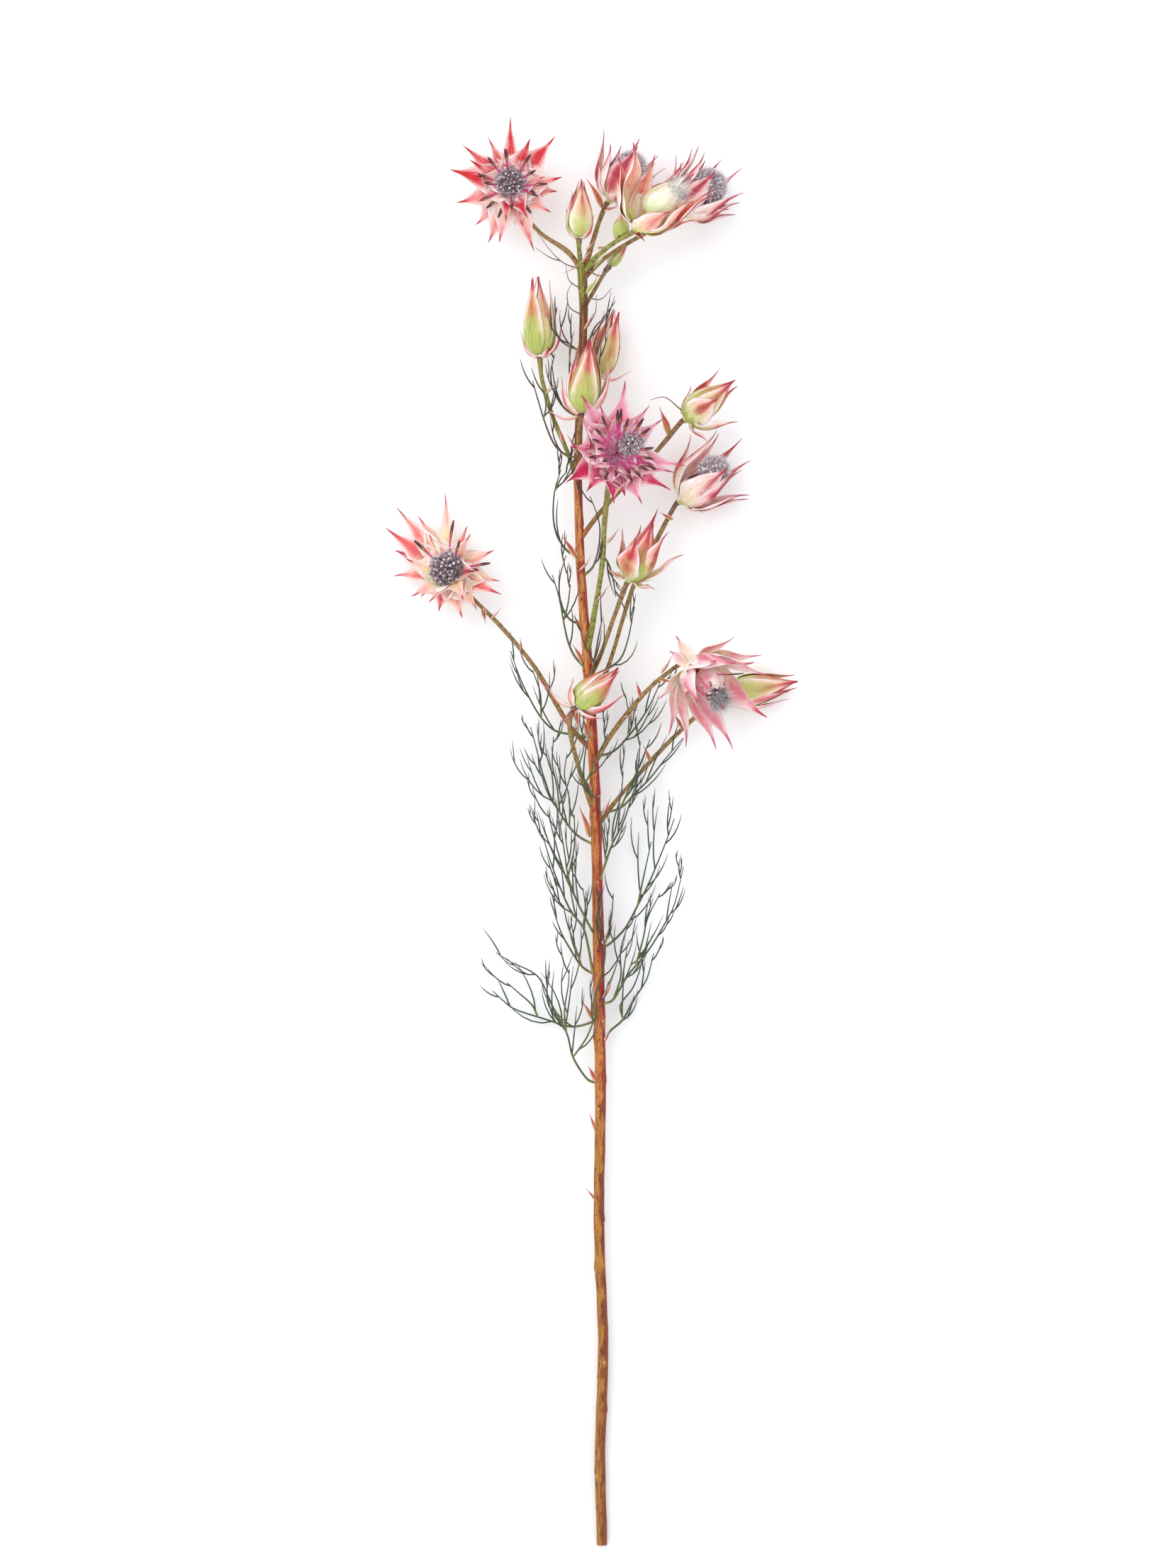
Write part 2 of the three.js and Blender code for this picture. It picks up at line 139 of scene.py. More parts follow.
def smooth(points, count):
    """A smooth run of count points through the given ones: each span is a cubic whose slope at either
    end is half the step between that end's neighbours."""
    given = np.asarray(points, float)
    padded = np.vstack([2 * given[0] - given[1], given, 2 * given[-1] - given[-2]])
    place = np.linspace(0, len(given) - 1, count)
    span = np.minimum(place.astype(int), len(given) - 2)
    share = (place - span)[:, None]
    before, start, end, after = (padded[span + step] for step in range(4))
    return 0.5 * (
        2 * start + (end - before) * share + (2 * before - 5 * start + 4 * end - after) * share**2
        + (3 * start - before - 3 * end + after) * share**3
    )


def unit(vectors):
    """Each vector at length 1."""
    return vectors / np.maximum(np.linalg.norm(vectors, axis=-1, keepdims=True), 1e-12)


def loft(rings, **marks):
    """Closed skins. rings holds, for each skin, rows of points that turn anticlockwise seen from the far
    end. Four-sided faces join each row to the next, and fans of triangles close both ends."""
    skins, rows, sides, _ = rings.shape
    first = (np.arange(skins) * rows * sides)[:, None, None]
    row, side = np.arange(rows - 1)[None, :, None], np.arange(sides)[None, None, :]
    here, beside = first + row * sides + side, first + row * sides + (side + 1) % sides
    quads = np.stack([here, beside, beside + sides, here + sides], axis=-1).reshape(-1, 4)
    fan = np.arange(1, sides - 1)[None, :]
    foot, head = first[:, 0], first[:, 0] + (rows - 1) * sides
    zeros = np.zeros_like(fan)
    feet = np.stack([foot + zeros, foot + fan + 1, foot + fan], axis=-1).reshape(-1, 3)
    heads = np.stack([head + zeros, head + fan, head + fan + 1], axis=-1).reshape(-1, 3)
    marks = {key: np.broadcast_to(value, (skins, rows, sides)).ravel() for key, value in marks.items()}
    return {"points": rings.reshape(-1, 3), "quads": quads, "tris": np.vstack([feet, heads]), **marks}


def tubes(paths, radii, sides, tone=0.5):
    """Round tubes along paths: ring points stand a radius from each path point, square to the path."""
    paths = np.asarray(paths, float)
    radii = np.broadcast_to(radii, paths.shape[:2])
    ahead = unit(np.gradient(paths, axis=1))
    least = np.argmin(np.abs(paths[:, -1] - paths[:, 0]), axis=1)
    beside = unit(np.cross(ahead, np.eye(3)[least][:, None, :]))
    third = np.cross(ahead, beside)
    turn = np.linspace(0, 2 * math.pi, sides, endpoint=False)
    ring = beside[:, :, None] * np.cos(turn)[:, None] + third[:, :, None] * np.sin(turn)[:, None]
    along = np.linspace(0, 1, paths.shape[1])[None, :, None]
    return loft(
        paths[:, :, None] + ring * radii[:, :, None, None],
        along=along, across=np.sin(turn)[None, None, :], tone=np.reshape(tone, (-1, 1, 1)),
        inside=np.zeros((1, 1, 1)),
    )


def joined(shapes):
    """Several shapes as one, with each one's faces counted on from the points before it."""
    counts = [len(shape["points"]) for shape in shapes]
    starts = np.concatenate([[0], np.cumsum(counts)[:-1]])
    made = {
        key: np.concatenate([shape[key] for shape in shapes])
        for key in shapes[0] if key not in ("quads", "tris")
    }
    for key in ("quads", "tris"):
        made[key] = np.concatenate([shape[key] + start for shape, start in zip(shapes, starts)])
    return made


def add_piece(name, shape, material, slot, *replaced):
    """Puts a shape into a smooth mesh object of the scene that rides on the part's one body."""
    mesh = bpy.data.meshes.new(name)
    corners = np.concatenate([shape["quads"].ravel(), shape["tris"].ravel()]).astype(np.int32)
    sizes = np.repeat([4, 3], [len(shape["quads"]), len(shape["tris"])])
    mesh.vertices.add(len(shape["points"]))
    mesh.vertices.foreach_set("co", shape["points"].astype(np.float32).ravel())
    mesh.loops.add(len(corners))
    mesh.loops.foreach_set("vertex_index", corners)
    mesh.polygons.add(len(sizes))
    mesh.polygons.foreach_set("loop_start", np.concatenate([[0], np.cumsum(sizes)[:-1]]).astype(np.int32))
    for key in ("along", "across", "tone", "inside"):
        mark = mesh.attributes.new(key, "FLOAT", "POINT")
        mark.data.foreach_set("value", shape[key].astype(np.float32))
    mesh.update(calc_edges=True)
    mesh.shade_smooth()
    mesh.materials.append(material)
    piece = bpy.data.objects.new(name, mesh)
    scene.collection.objects.link(piece)
    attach(piece, "root")
    if replaced:
        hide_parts(*replaced)
    return piece


class Finish:
    """A material that is put together node by node. Each call adds one node and gives its output."""

    def __init__(self, name, roughness, **sockets):
        self.material = bpy.data.materials.new(name)
        self.material.use_nodes = True
        self.tree = self.material.node_tree
        self.surface = self.tree.nodes["Principled BSDF"]
        self.surface.inputs["Roughness"].default_value = roughness
        for socket, value in sockets.items():
            self.surface.inputs[socket.replace("_", " ")].default_value = value

    def node(self, kind, output, settings, **inputs):
        made = self.tree.nodes.new(kind)
        for key, value in settings.items():
            setattr(made, key, value)
        for key, value in inputs.items():
            socket = made.inputs[int(key[1:]) if key[0] == "_" else key]
            if isinstance(value, bpy.types.NodeSocket):
                self.tree.links.new(value, socket)
            else:
                socket.default_value = value
        return made.outputs[output]

    def mark(self, name):
        return self.node("ShaderNodeAttribute", "Fac", {"attribute_name": name})

    def place(self):
        return self.node("ShaderNodeTexCoord", "Object", {})

    def vector(self, x, y, z):
        return self.node("ShaderNodeCombineXYZ", 0, {}, X=x, Y=y, Z=z)

    def stretched(self, scale):
        return self.node("ShaderNodeMapping", 0, {}, Vector=self.place(), Scale=scale)

    def noise(self, vector, scale, detail=3.0, rough=0.5):
        return self.node(
            "ShaderNodeTexNoise", "Fac", {}, Vector=vector, Scale=scale, Detail=detail, Roughness=rough
        )

    def sum(self, operation, first, second):
        return self.node("ShaderNodeMath", 0, {"operation": operation}, _0=first, _1=second)

    def ramp(self, share, *stops):
        made = self.tree.nodes.new("ShaderNodeValToRGB")
        self.tree.links.new(share, made.inputs[0])
        stones = made.color_ramp.elements
        for _ in stops[2:]:
            stones.new(0.5)
        for stone, (position, colour) in zip(stones, stops):
            stone.position, stone.color = position, paint(colour)
        return made.outputs[0]

    def mix(self, share, first, second, blend="MIX"):
        first = paint(first) if isinstance(first, str) else first
        second = paint(second) if isinstance(second, str) else second
        settings = {"data_type": "RGBA", "blend_type": blend}
        return self.node("ShaderNodeMix", 2, settings, _0=share, _6=first, _7=second)

    def between(self, share, low, high):
        """How far share is from low to high, held between 0 and 1."""
        return self.node("ShaderNodeMapRange", 0, {}, Value=share, _1=low, _2=high, _3=0.0, _4=1.0)

    def bump(self, height, depth):
        bumped = self.node("ShaderNodeBump", 0, {}, Height=height, Distance=depth * MM, Strength=0.8)
        self.tree.links.new(bumped, self.surface.inputs["Normal"])

    def colour(self, output, depth=1.5):
        """Makes an output the base colour, with its colours deepened by a power."""
        deep = self.node("ShaderNodeGamma", 0, {}, Color=output, Gamma=depth)
        self.tree.links.new(deep, self.surface.inputs["Base Color"])
        return self.material


def bark():
    finish = Finish("bark", 0.62)
    along, across = finish.mark("along"), finish.mark("across")
    streaks = finish.noise(finish.stretched((1, 0.12, 1)), 900.0, 4.0, 0.6)
    blotches = finish.noise(finish.stretched((1, 0.3, 1)), 330.0, 3.0, 0.6)
    wood = finish.ramp(
        along, (0.0, "#ad7f32"), (0.3, "#b98432"), (0.36, "#c4863a"), (0.5, "#c87f3e"), (0.62, "#d68f50"),
        (0.74, "#d99857"), (0.84, "#bb7f48"), (0.9, "#8f4a34"), (0.95, "#98683e"),
        (0.965, "#93903f"), (1.0, "#9a9a48"),
    )
    red = finish.ramp(
        along, (0.0, "#96561f"), (0.33, "#974a23"), (0.4, "#a8362c"), (0.6, "#b23a2e"), (0.75, "#b4532f"),
        (0.88, "#7d3026"), (0.96, "#84502c"), (1.0, "#8c7a3c"),
    )
    side = finish.sum("ADD", finish.sum("MULTIPLY", across, -0.4), finish.sum("MULTIPLY", blotches, 2.0))
    side = finish.sum("ADD", side, finish.sum("MULTIPLY", finish.sum("MULTIPLY", across, across), 0.22))
    base = finish.mix(finish.between(side, 1.06, 1.22), wood, red)
    darker = finish.mix(1.0, base, "#b88e6a", "MULTIPLY")
    edged = finish.mix(finish.between(streaks, 0.46, 0.68), base, darker)
    specks = finish.noise(finish.stretched((1, 0.5, 1)), 1500.0, 2.0, 0.5)
    dotted = finish.mix(finish.between(specks, 0.63, 0.69), edged, "#4a2416")
    scarred = finish.mix(finish.between(finish.mark("tone"), 0.55, 0.95), dotted, "#c9a877")
    finish.bump(finish.sum("ADD", streaks, finish.sum("MULTIPLY", specks, 0.5)), 0.25)
    return finish.colour(scarred, 1.2)


def main_stem():
    """A tube whose radius swells at each leaf scar by a bell curve along it and around it. The scars
    climb the stem by golden turns."""
    rows, sides = 760, 32
    route = smooth(STEM_ROUTE, rows)
    path, radius = plan(route[:, :3]), route[:, 3] * MM
    shape = tubes(path[None], radius[None], sides)
    turn = np.linspace(0, 2 * math.pi, sides, endpoint=False)
    rise = (route[:, 1, None] - np.array(SCARS)) / np.array(4.0)
    scar_turn = np.arange(len(SCARS)) * GOLDEN_TURN
    around = np.cos(turn[:, None] - scar_turn)
    ledge = np.exp(-(rise**2)) * np.where(rise > 0, 1.0, 0.45)
    swell = (ledge[:, None] * np.exp(-2.4 * (1 - around))[None]).sum(axis=2)
    wave = 0.05 * np.sin(3 * turn + 0.02 * route[:, 1, None]) + 0.03 * np.sin(0.33 * route[:, 1, None] + turn)
    ring = shape["points"].reshape(rows, sides, 3)
    ring += (ring - path[:, None]) * (0.24 * swell + wave)[:, :, None]
    shape["along"] = np.repeat(route[:, 1] / route[-1, 1], sides)
    scar_face = np.exp(-((rise + 0.1) ** 2) * 14)
    shape["tone"] = (scar_face[:, None] * np.exp(-9 * (1 - around))[None]).max(axis=2).ravel()
    shape["points"] = ring.reshape(-1, 3)
    return shape


add_piece("main_stem_bark", main_stem(), bark(), "bark", "main_stem")


# ---------------------------------------------------------------- side stalks
# Each flower head and each large bud stands on a side stalk, a thin green-brown twig that grew from the
# stem above a leaf. The twig turns mauve brown just below what it carries.

STALKS = {
    "crown_left": [[-8.6, 523, 22, 1.1], [-14, 530, 20.5, 1], [-25, 538, 15, 0.85], [-33, 548, 11, 0.85]],
    "crown_middle": [[-6.6, 524, 21.5, 1.2], [-4, 532, 19.5, 1.1], [-1, 542, 15, 0.9]],
    "crown_front": [[-6.8, 522, 22.5, 1.2], [-1, 528, 26.6, 1], [6, 533, 31, 0.95]],
    "crown_right": [[-7, 519, 20.4, 1.1], [1, 527, 17.5, 0.9], [13, 535, 14, 0.9]],
    "middle_open": [[-6, 364, 14.2, 1.2], [-3.2, 380, 18.4, 1.1], [0.4, 402, 21, 1.1], [1.4, 420, 24, 1.1]],
    "right_upper": [[-9, 412, 17, 1.1], [0, 424, 17, 0.9], [13, 438, 17, 0.9], [24, 450, 19, 0.9]],
    "right_middle": [[-4.8, 345, 12.6, 1.1], [3, 361, 11.6, 0.9], [13, 393, 11.6, 0.9], [23, 413, 12, 0.9]],
    "right_lower": [[-5.2, 355, 14.2, 1.1], [0, 366, 20, 0.9], [5, 380, 24, 0.9]],
    "left_open": [
        [-3.6, 326, 12.6, 1.2], [-14, 338, 12.4, 1], [-27, 360, 10.6, 0.9], [-41, 377, 9, 0.9],
        [-53, 389, 8.2, 0.9],
    ],
    "low_right": [[-3.4, 320, 13, 1.2], [5, 334, 17, 1], [18, 350, 21, 0.9], [28, 358.6, 23, 0.9]],
    "bud_crown": [[-8.4, 524, 22.6, 1.2], [-9, 530, 24, 0.9]],
    "bud_crown_small": [[-7.4, 506, 20.4, 1], [-3, 514, 16, 0.8], [1, 521, 14, 0.8]],
    "bud_left": [[-9.4, 434, 17.4, 1.1], [-13.4, 447, 18, 0.9], [-20, 463, 18.4, 0.9], [-24, 477, 18.6, 0.9]],
    "bud_behind": [[-8.4, 462, 18, 1], [-6, 469, 13.6, 0.8]],
    "bud_front": [[-9, 444, 18.6, 1.1], [-9.4, 452, 23, 0.9]],
    "bud_low_front": [[-2.4, 300, 12, 1.1], [-7, 312, 16.4, 0.9], [-12.6, 333, 23, 0.9]],
    "bud_low_right": [[-2.6, 294, 11.4, 1.1], [8, 308, 8.4, 0.9], [26, 328, 6.6, 0.9], [42, 343, 6, 0.9]],
}
APPROACH = 2.6 * MM  # the straight end of a stalk
STALK_END_POINTS = 6  # corners of a CAD stalk's end, where it meets what it carries


def seat(carried, stalk):
    """Where a head or bud stands and the way it faces: from the middle of its stalk's nearest corners
    to the middle of its own box."""
    low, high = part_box(carried)
    middle = (np.array(low) + np.array(high)) / 2
    corners = node_points(stalk)
    near = np.argsort(np.linalg.norm(corners - middle, axis=1))[:STALK_END_POINTS]
    foot = corners[near].mean(axis=0)
    return foot, unit(middle - foot)


def stalk_bark():
    finish = Finish("stalk_bark", 0.6)
    along = finish.mark("along")
    streaks = finish.noise(finish.place(), 700.0, 3.0, 0.6)
    blotches = finish.noise(finish.place(), 160.0)
    share = finish.sum("ADD", along, finish.sum("MULTIPLY", finish.sum("SUBTRACT", blotches, 0.5), 0.35))
    wood = finish.ramp(
        share, (0.0, "#b5703f"), (0.15, "#a88a50"), (0.6, "#a08a58"), (0.85, "#94705a"), (1.0, "#84584e")
    )
    green = finish.ramp(share, (0.0, "#9a9a48"), (0.5, "#a3a35a"), (0.85, "#9a8a56"), (1.0, "#8f6a58"))
    base = finish.mix(finish.mark("tone"), wood, green)
    worn = finish.mix(finish.between(streaks, 0.45, 0.7), base, finish.mix(1.0, base, "#a98f86", "MULTIPLY"))
    finish.bump(streaks, 0.12)
    return finish.colour(worn, 1.2)


stalk_finish = stalk_bark()
GREEN_STALKS = ("middle_open", "bud_crown", "crown_front", "bud_left")

for name, route in STALKS.items():
    head = f"{name}_florets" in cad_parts
    foot, facing = seat(f"{name}_florets" if head else name, f"{name}_stalk")
    given = np.array(route, float)
    points = np.vstack([plan(given[:, :3]), foot - APPROACH * facing, foot])
    radii = np.append(given[:, 3], [1.05, 1.25]) * MM
    path = smooth(np.column_stack([points, radii]), 90)
    knots = 1 + 0.09 * np.sin(np.linspace(0, 19, 90) + len(name)) * np.sin(np.linspace(0, 7, 90))
    twig = tubes(path[None, :, :3], (path[:, 3] * knots)[None], 12, float(name in GREEN_STALKS))
    add_piece(f"{name}_twig", twig, stalk_finish, "stalk", f"{name}_stalk")


# ---------------------------------------------------------------- bracts of the flower heads
# A head's showy part is its cup of bracts: papery, pointed leaves in rings on a small receptacle, each
# keeled along its midrib, with margins that curl and a tip drawn out to a fine dark rose point.

BRACT_WIDTHS = [0.46, 0.75, 0.93, 1, 0.97, 0.86, 0.68, 0.48, 0.3, 0.16, 0.08, 0.02]  # half, foot to tip
BROAD_WIDTHS = [0.5, 0.8, 0.96, 1, 1, 0.95, 0.86, 0.7, 0.47, 0.24, 0.11, 0.03]
BRACT_MESH = (30, 13)  # rows and columns of points on each face of a bract
SMALL_MESH = (16, 7)
random_of = np.random.default_rng(20)


def eased(values, share):
    """The value at each share from 0 to 1 of runs of evenly spaced values, smoothly joined, as an array
    with one row for each run."""
    values = np.asarray(values, float)
    run = smooth(values.reshape(len(values), -1), 1001)
    return run[(np.clip(share, 0, 1) * 1000).astype(int)].T


def bracts(turns, lengths, half_widths, leans, start=1.6, rise=1.2, cup=0.5, hug=0.0, roll=1.3, wave=0.06,
           thick=0.2, widths=BRACT_WIDTHS, loose=1.0, layer=0.0, mesh=BRACT_MESH):
    """Bracts around the z axis, one for each turn in degrees, in millimetres. The midrib leans from the
    axis by the angles in leans, added up into its height and distance from the axis. Each cross-section
    is an arc that opens to the axis: it turns cup radians to either side, plus hug times what would
    wrap it round the axis, plus roll towards the tip. wave ruffles the margins with a sine. loose
    scales the small differences between bracts, and layer sets each one that much outside the last."""
    many, (rows, columns) = len(turns), mesh
    differ = random_of.normal(size=(9, many, 1)) * loose
    share = np.linspace(0, 1, rows)
    lean = np.radians(eased(leans, share) + 3 * differ[0] * share + 6 * differ[1] * share**3)
    stride = np.reshape(lengths, (-1, 1)) * (1 + 0.04 * differ[2]) / (rows - 1)
    outward = np.cumsum(np.sin(lean) * stride, axis=1)
    out = np.maximum(start + layer * np.arange(many)[:, None] + outward, 0.25)
    up = rise + np.cumsum(np.cos(lean) * stride, axis=1)
    half = np.reshape(half_widths, (-1, 1)) * (1 + 0.06 * differ[3]) * eased(widths, share)
    half = half * (1 + 0.05 * np.sin(10 * share + 5 * differ[8]))
    across = np.linspace(-1, 1, columns)
    arc = cup + np.clip(hug * half / out, 0, 2.2) + roll * share**3 * (1 + 0.25 * differ[4])
    bend = arc[..., None] * across
    chord = half[..., None] / np.maximum(arc[..., None], 0.05)
    side = chord * np.sin(bend) * (1 + 0.12 * differ[8][..., None] * across)
    side = side + (1.3 * differ[5] * share**2.5)[..., None]
    ruffle = np.sin(11 * share[:, None] + 3 * across + 6 * differ[6][..., None]) * wave * half[..., None]
    keel = 0.09 * half[..., None] * np.exp(-((across / 0.16) ** 2))
    inward = chord * (1 - np.cos(bend)) + ruffle * np.abs(across) ** 2 - keel
    turn = np.radians(np.asarray(turns, float))[:, None] + 0.04 * differ[7]
    zero = np.zeros_like(turn)
    radial = np.stack([np.cos(turn), np.sin(turn), zero], axis=-1)[:, :, None]
    beside = np.stack([-np.sin(turn), np.cos(turn), zero], axis=-1)[:, :, None]
    upright = np.array([0, 0, 1.0])
    lean = lean[..., None, None]
    inner = -np.cos(lean) * radial + np.sin(lean) * upright
    spine = out[..., None, None] * radial + up[..., None, None] * upright
    sheet = spine + side[..., None] * beside + inward[..., None] * inner
    facing = np.cos(bend)[..., None] * inner - np.sin(bend)[..., None] * beside
    depth = thick * (1 - 0.55 * across**2) * (1 - 0.5 * share[:, None])
    lift = 0.5 * depth[..., None] * facing
    rings = np.concatenate([sheet - lift, (sheet + lift)[:, :, ::-1]], axis=2)
    tone = random_of.random(size=(many, 1, 1))
    faces = np.concatenate([np.zeros(columns), np.ones(columns)])
    return loft(
        rings, along=share[None, :, None], across=np.concatenate([across, across[::-1]]), tone=tone,
        inside=faces,
    )


def turned_to(facing):
    """The least turn that takes the z axis to a direction, as a matrix."""
    hinge = np.cross([0, 0, 1.0], facing)
    bend = np.array([[0, -hinge[2], hinge[1]], [hinge[2], 0, -hinge[0]], [-hinge[1], hinge[0], 0]])
    return np.eye(3) + bend + bend @ bend / (1 + facing[2])


def placed(shape, foot, facing, size=1.0):
    """A shape in millimetres around the z axis, moved to foot and turned to face a direction. Whatever
    would reach below the table bends up to lie on it."""
    points = shape["points"] * size * MM @ turned_to(facing).T + foot
    lying = 0.9 * MM  # a point this low starts to bend
    low = points[:, 2] < lying
    points[low, 2] = lying * np.exp((points[low, 2] - lying) / (6 * MM))
    return {**shape, "points": points}


def aimed(tips, foot, facing, size, bow, start, rise):
    """The turns, lengths and leans that make bracts end at plan points, when each one's midrib bends by
    the angles in bow: the straight line from foot to tip is that much shorter than the bent midrib, and
    leans that much less."""
    local = (plan(tips) - foot) @ turned_to(facing) / (size * MM)
    out, up = np.hypot(local[:, 0], local[:, 1]) - start, local[:, 2] - rise
    bent = np.radians(eased(bow, np.linspace(0, 1, BRACT_MESH[0]))[0])
    chord = np.array([np.sin(bent).mean(), np.cos(bent).mean()])
    lean = np.degrees(np.arctan2(out, up) - np.arctan2(*chord))
    turns = np.degrees(np.arctan2(local[:, 1], local[:, 0]))
    return turns, np.hypot(out, up) / np.linalg.norm(chord), lean + np.reshape(bow, (-1, 1))


def papery(name, foot, middle, flush, tip, streak, green=0.0, patch="#e2455d"):
    """Papery bract: its colours from foot to tip, pale margins, some bracts flushed with a stronger patch
    of colour, a rose streak on the midrib outside, and fine veins."""
    finish = Finish(name, 0.5, Subsurface_Weight=0.15, Subsurface_Scale=1.2 * MM)
    along, across = finish.mark("along"), finish.mark("across")
    tone, inside = finish.mark("tone"), finish.mark("inside")
    fan = finish.vector(finish.sum("MULTIPLY", across, 9.0), finish.sum("MULTIPLY", along, 2.2),
                        finish.sum("MULTIPLY", tone, 40.0))
    grain = finish.noise(fan, 1.0, 4.0, 0.62)
    hairlines = finish.noise(fan, 3.1, 2.0, 0.5)
    cloud = finish.noise(finish.place(), 190.0, 2.0)
    drift = finish.sum("MULTIPLY", finish.sum("SUBTRACT", cloud, 0.5), 0.5)
    drift = finish.sum("ADD", drift, finish.sum("MULTIPLY", finish.sum("SUBTRACT", tone, 0.5), 0.24))
    drift = finish.sum("ADD", drift, finish.sum("MULTIPLY", finish.sum("SUBTRACT", grain, 0.5), 0.3))
    share = finish.sum("ADD", along, drift)
    base = finish.ramp(share, (0.02, foot), (0.3, middle), (0.58, flush), (0.76, flush), (0.95, tip))
    edge = finish.sum("MULTIPLY", across, across)
    blush = finish.sum("ADD", finish.sum("MULTIPLY", tone, 0.7), finish.sum("MULTIPLY", cloud, 0.9))
    blush = finish.sum("SUBTRACT", blush, finish.sum("MULTIPLY", edge, 0.25))
    blush = finish.sum("ADD", blush, finish.sum("MULTIPLY", finish.sum("SUBTRACT", grain, 0.5), 1.1))
    glow = finish.noise(finish.place(), 75.0, 1.0)
    blush = finish.sum("ADD", blush, finish.sum("MULTIPLY", finish.sum("SUBTRACT", glow, 0.5), 1.6))
    blush = finish.sum("MULTIPLY", finish.between(blush, 0.8, 1.15), finish.between(along, 0.1, 0.45))
    flushed = finish.mix(finish.sum("MULTIPLY", blush, 0.9), base, patch)
    pale = finish.mix(finish.sum("MULTIPLY", finish.between(edge, 0.12, 0.75), 0.88), flushed, "#fff6f3")
    edge_drift = finish.sum("ADD", finish.sum("MULTIPLY", edge, 9.0), finish.sum("MULTIPLY", drift, -2.0))
    rib = finish.between(edge_drift,
                         1.1, 0.0)
    outside = finish.sum("SUBTRACT", 1.0, finish.sum("MULTIPLY", inside, 0.7))
    climb = finish.between(share, 0.2, 0.55)
    ribbed = finish.sum("MULTIPLY", rib, outside)
    strength = finish.sum("MULTIPLY", ribbed, finish.sum("MULTIPLY", climb, streak))
    striped = finish.mix(strength, pale, tip)
    veins = finish.mix(finish.sum("MULTIPLY", finish.between(hairlines, 0.52, 0.66), 0.38), striped, patch)
    rim = finish.sum("MULTIPLY", finish.between(edge, 0.86, 0.95), finish.between(along, 0.35, 0.7))
    rimmed = finish.mix(finish.sum("MULTIPLY", rim, 0.45), veins, tip)
    point = finish.mix(finish.between(along, 0.8, 0.97), rimmed, tip)
    if green:
        leafy = finish.between(finish.sum("ADD", share, finish.sum("MULTIPLY", edge, 0.42)), 0.84, 0.42)
        leaf = finish.mix(finish.between(hairlines, 0.45, 0.62), "#cdd48c", "#b3bd66")
        leafy = finish.sum("MULTIPLY", leafy, finish.between(tone, 0.05, 0.5))
        point = finish.mix(finish.sum("MULTIPLY", leafy, green), point, leaf)
    finish.bump(finish.sum("ADD", grain, hairlines), 0.16)
    return finish.colour(point)


BRACT_FINISHES = {
    "coral": papery("coral_bract", "#fbe3ad", "#fdeee4", "#fbc9c6", "#cf2c4a", 0.6, 0, "#d92544"),
    "glow": papery("glow_bract", "#e9eda6", "#fbe0cb", "#fac3b2", "#cf4566", 0.5, 0, "#f0695a"),
    "blushing": papery("blushing_bract", "#f4ecc0", "#fdf3e4", "#fde2e2", "#d4557a", 0.5, 0, "#f5bac4"),
    "rose": papery("rose_bract", "#d4386a", "#f49cb8", "#fdd0dd", "#c8326a", 0.6, 0, "#de4a80"),
    "dusky": papery("dusky_bract", "#f8efcd", "#fae2d8", "#f6cdcb", "#bb3152", 1.0, 0, "#d9566f"),
    "cream": papery("cream_bract", "#eef0a8", "#fbf0cc", "#fbdad0", "#cf4a66", 0.5, 0, "#ef8886"),
    "budded": papery("budded_bract", "#ecebb2", "#f8ecd2", "#f7cfc6", "#c03556", 1.0, 0.4),
}
BALL_FINISHES = {
    "crown_front": papery("ball_bract", "#e6e6bc", "#f5f0da", "#f8efe6", "#d99aa4", 0.25, 0.16, "#dcd6a8"),
    "low_right": papery("pink_ball_bract", "#f6ecc6", "#fbeee4", "#fad9da", "#d5607c", 0.5, 0, "#efa3b0"),
}
bud_finish = papery("bud_wrap", "#ced389", "#ebe5b8", "#f2cdb2", "#cb4a62", 0.8, 0.9, "#ea8c80")

# How each kind of head holds its bracts: how they bend on the way up, then what bracts() takes.
HOLDS = {
    "open": ([-26, -8, 4, 8, 10, 4], {"rise": 1.4, "cup": 0.4, "wave": 0.18}),
    "bowl": ([16, 12, 2, -8, -16, -4], {"rise": 1.4, "cup": 0.55, "wave": 0.3}),
    "cup": ([46, 18, -8, -22, -16, 0], {"rise": 1.2, "cup": 0.4, "hug": 0.3, "widths": BROAD_WIDTHS}),
    "closed": ([44, 16, -8, -20, -14, 2],
               {"rise": 1.2, "cup": 0.45, "hug": 0.3, "wave": 0.12, "widths": BROAD_WIDTHS}),
}
BREADTH = {"open": 1.45, "bowl": 1.5, "cup": 1.3, "closed": 1.3}
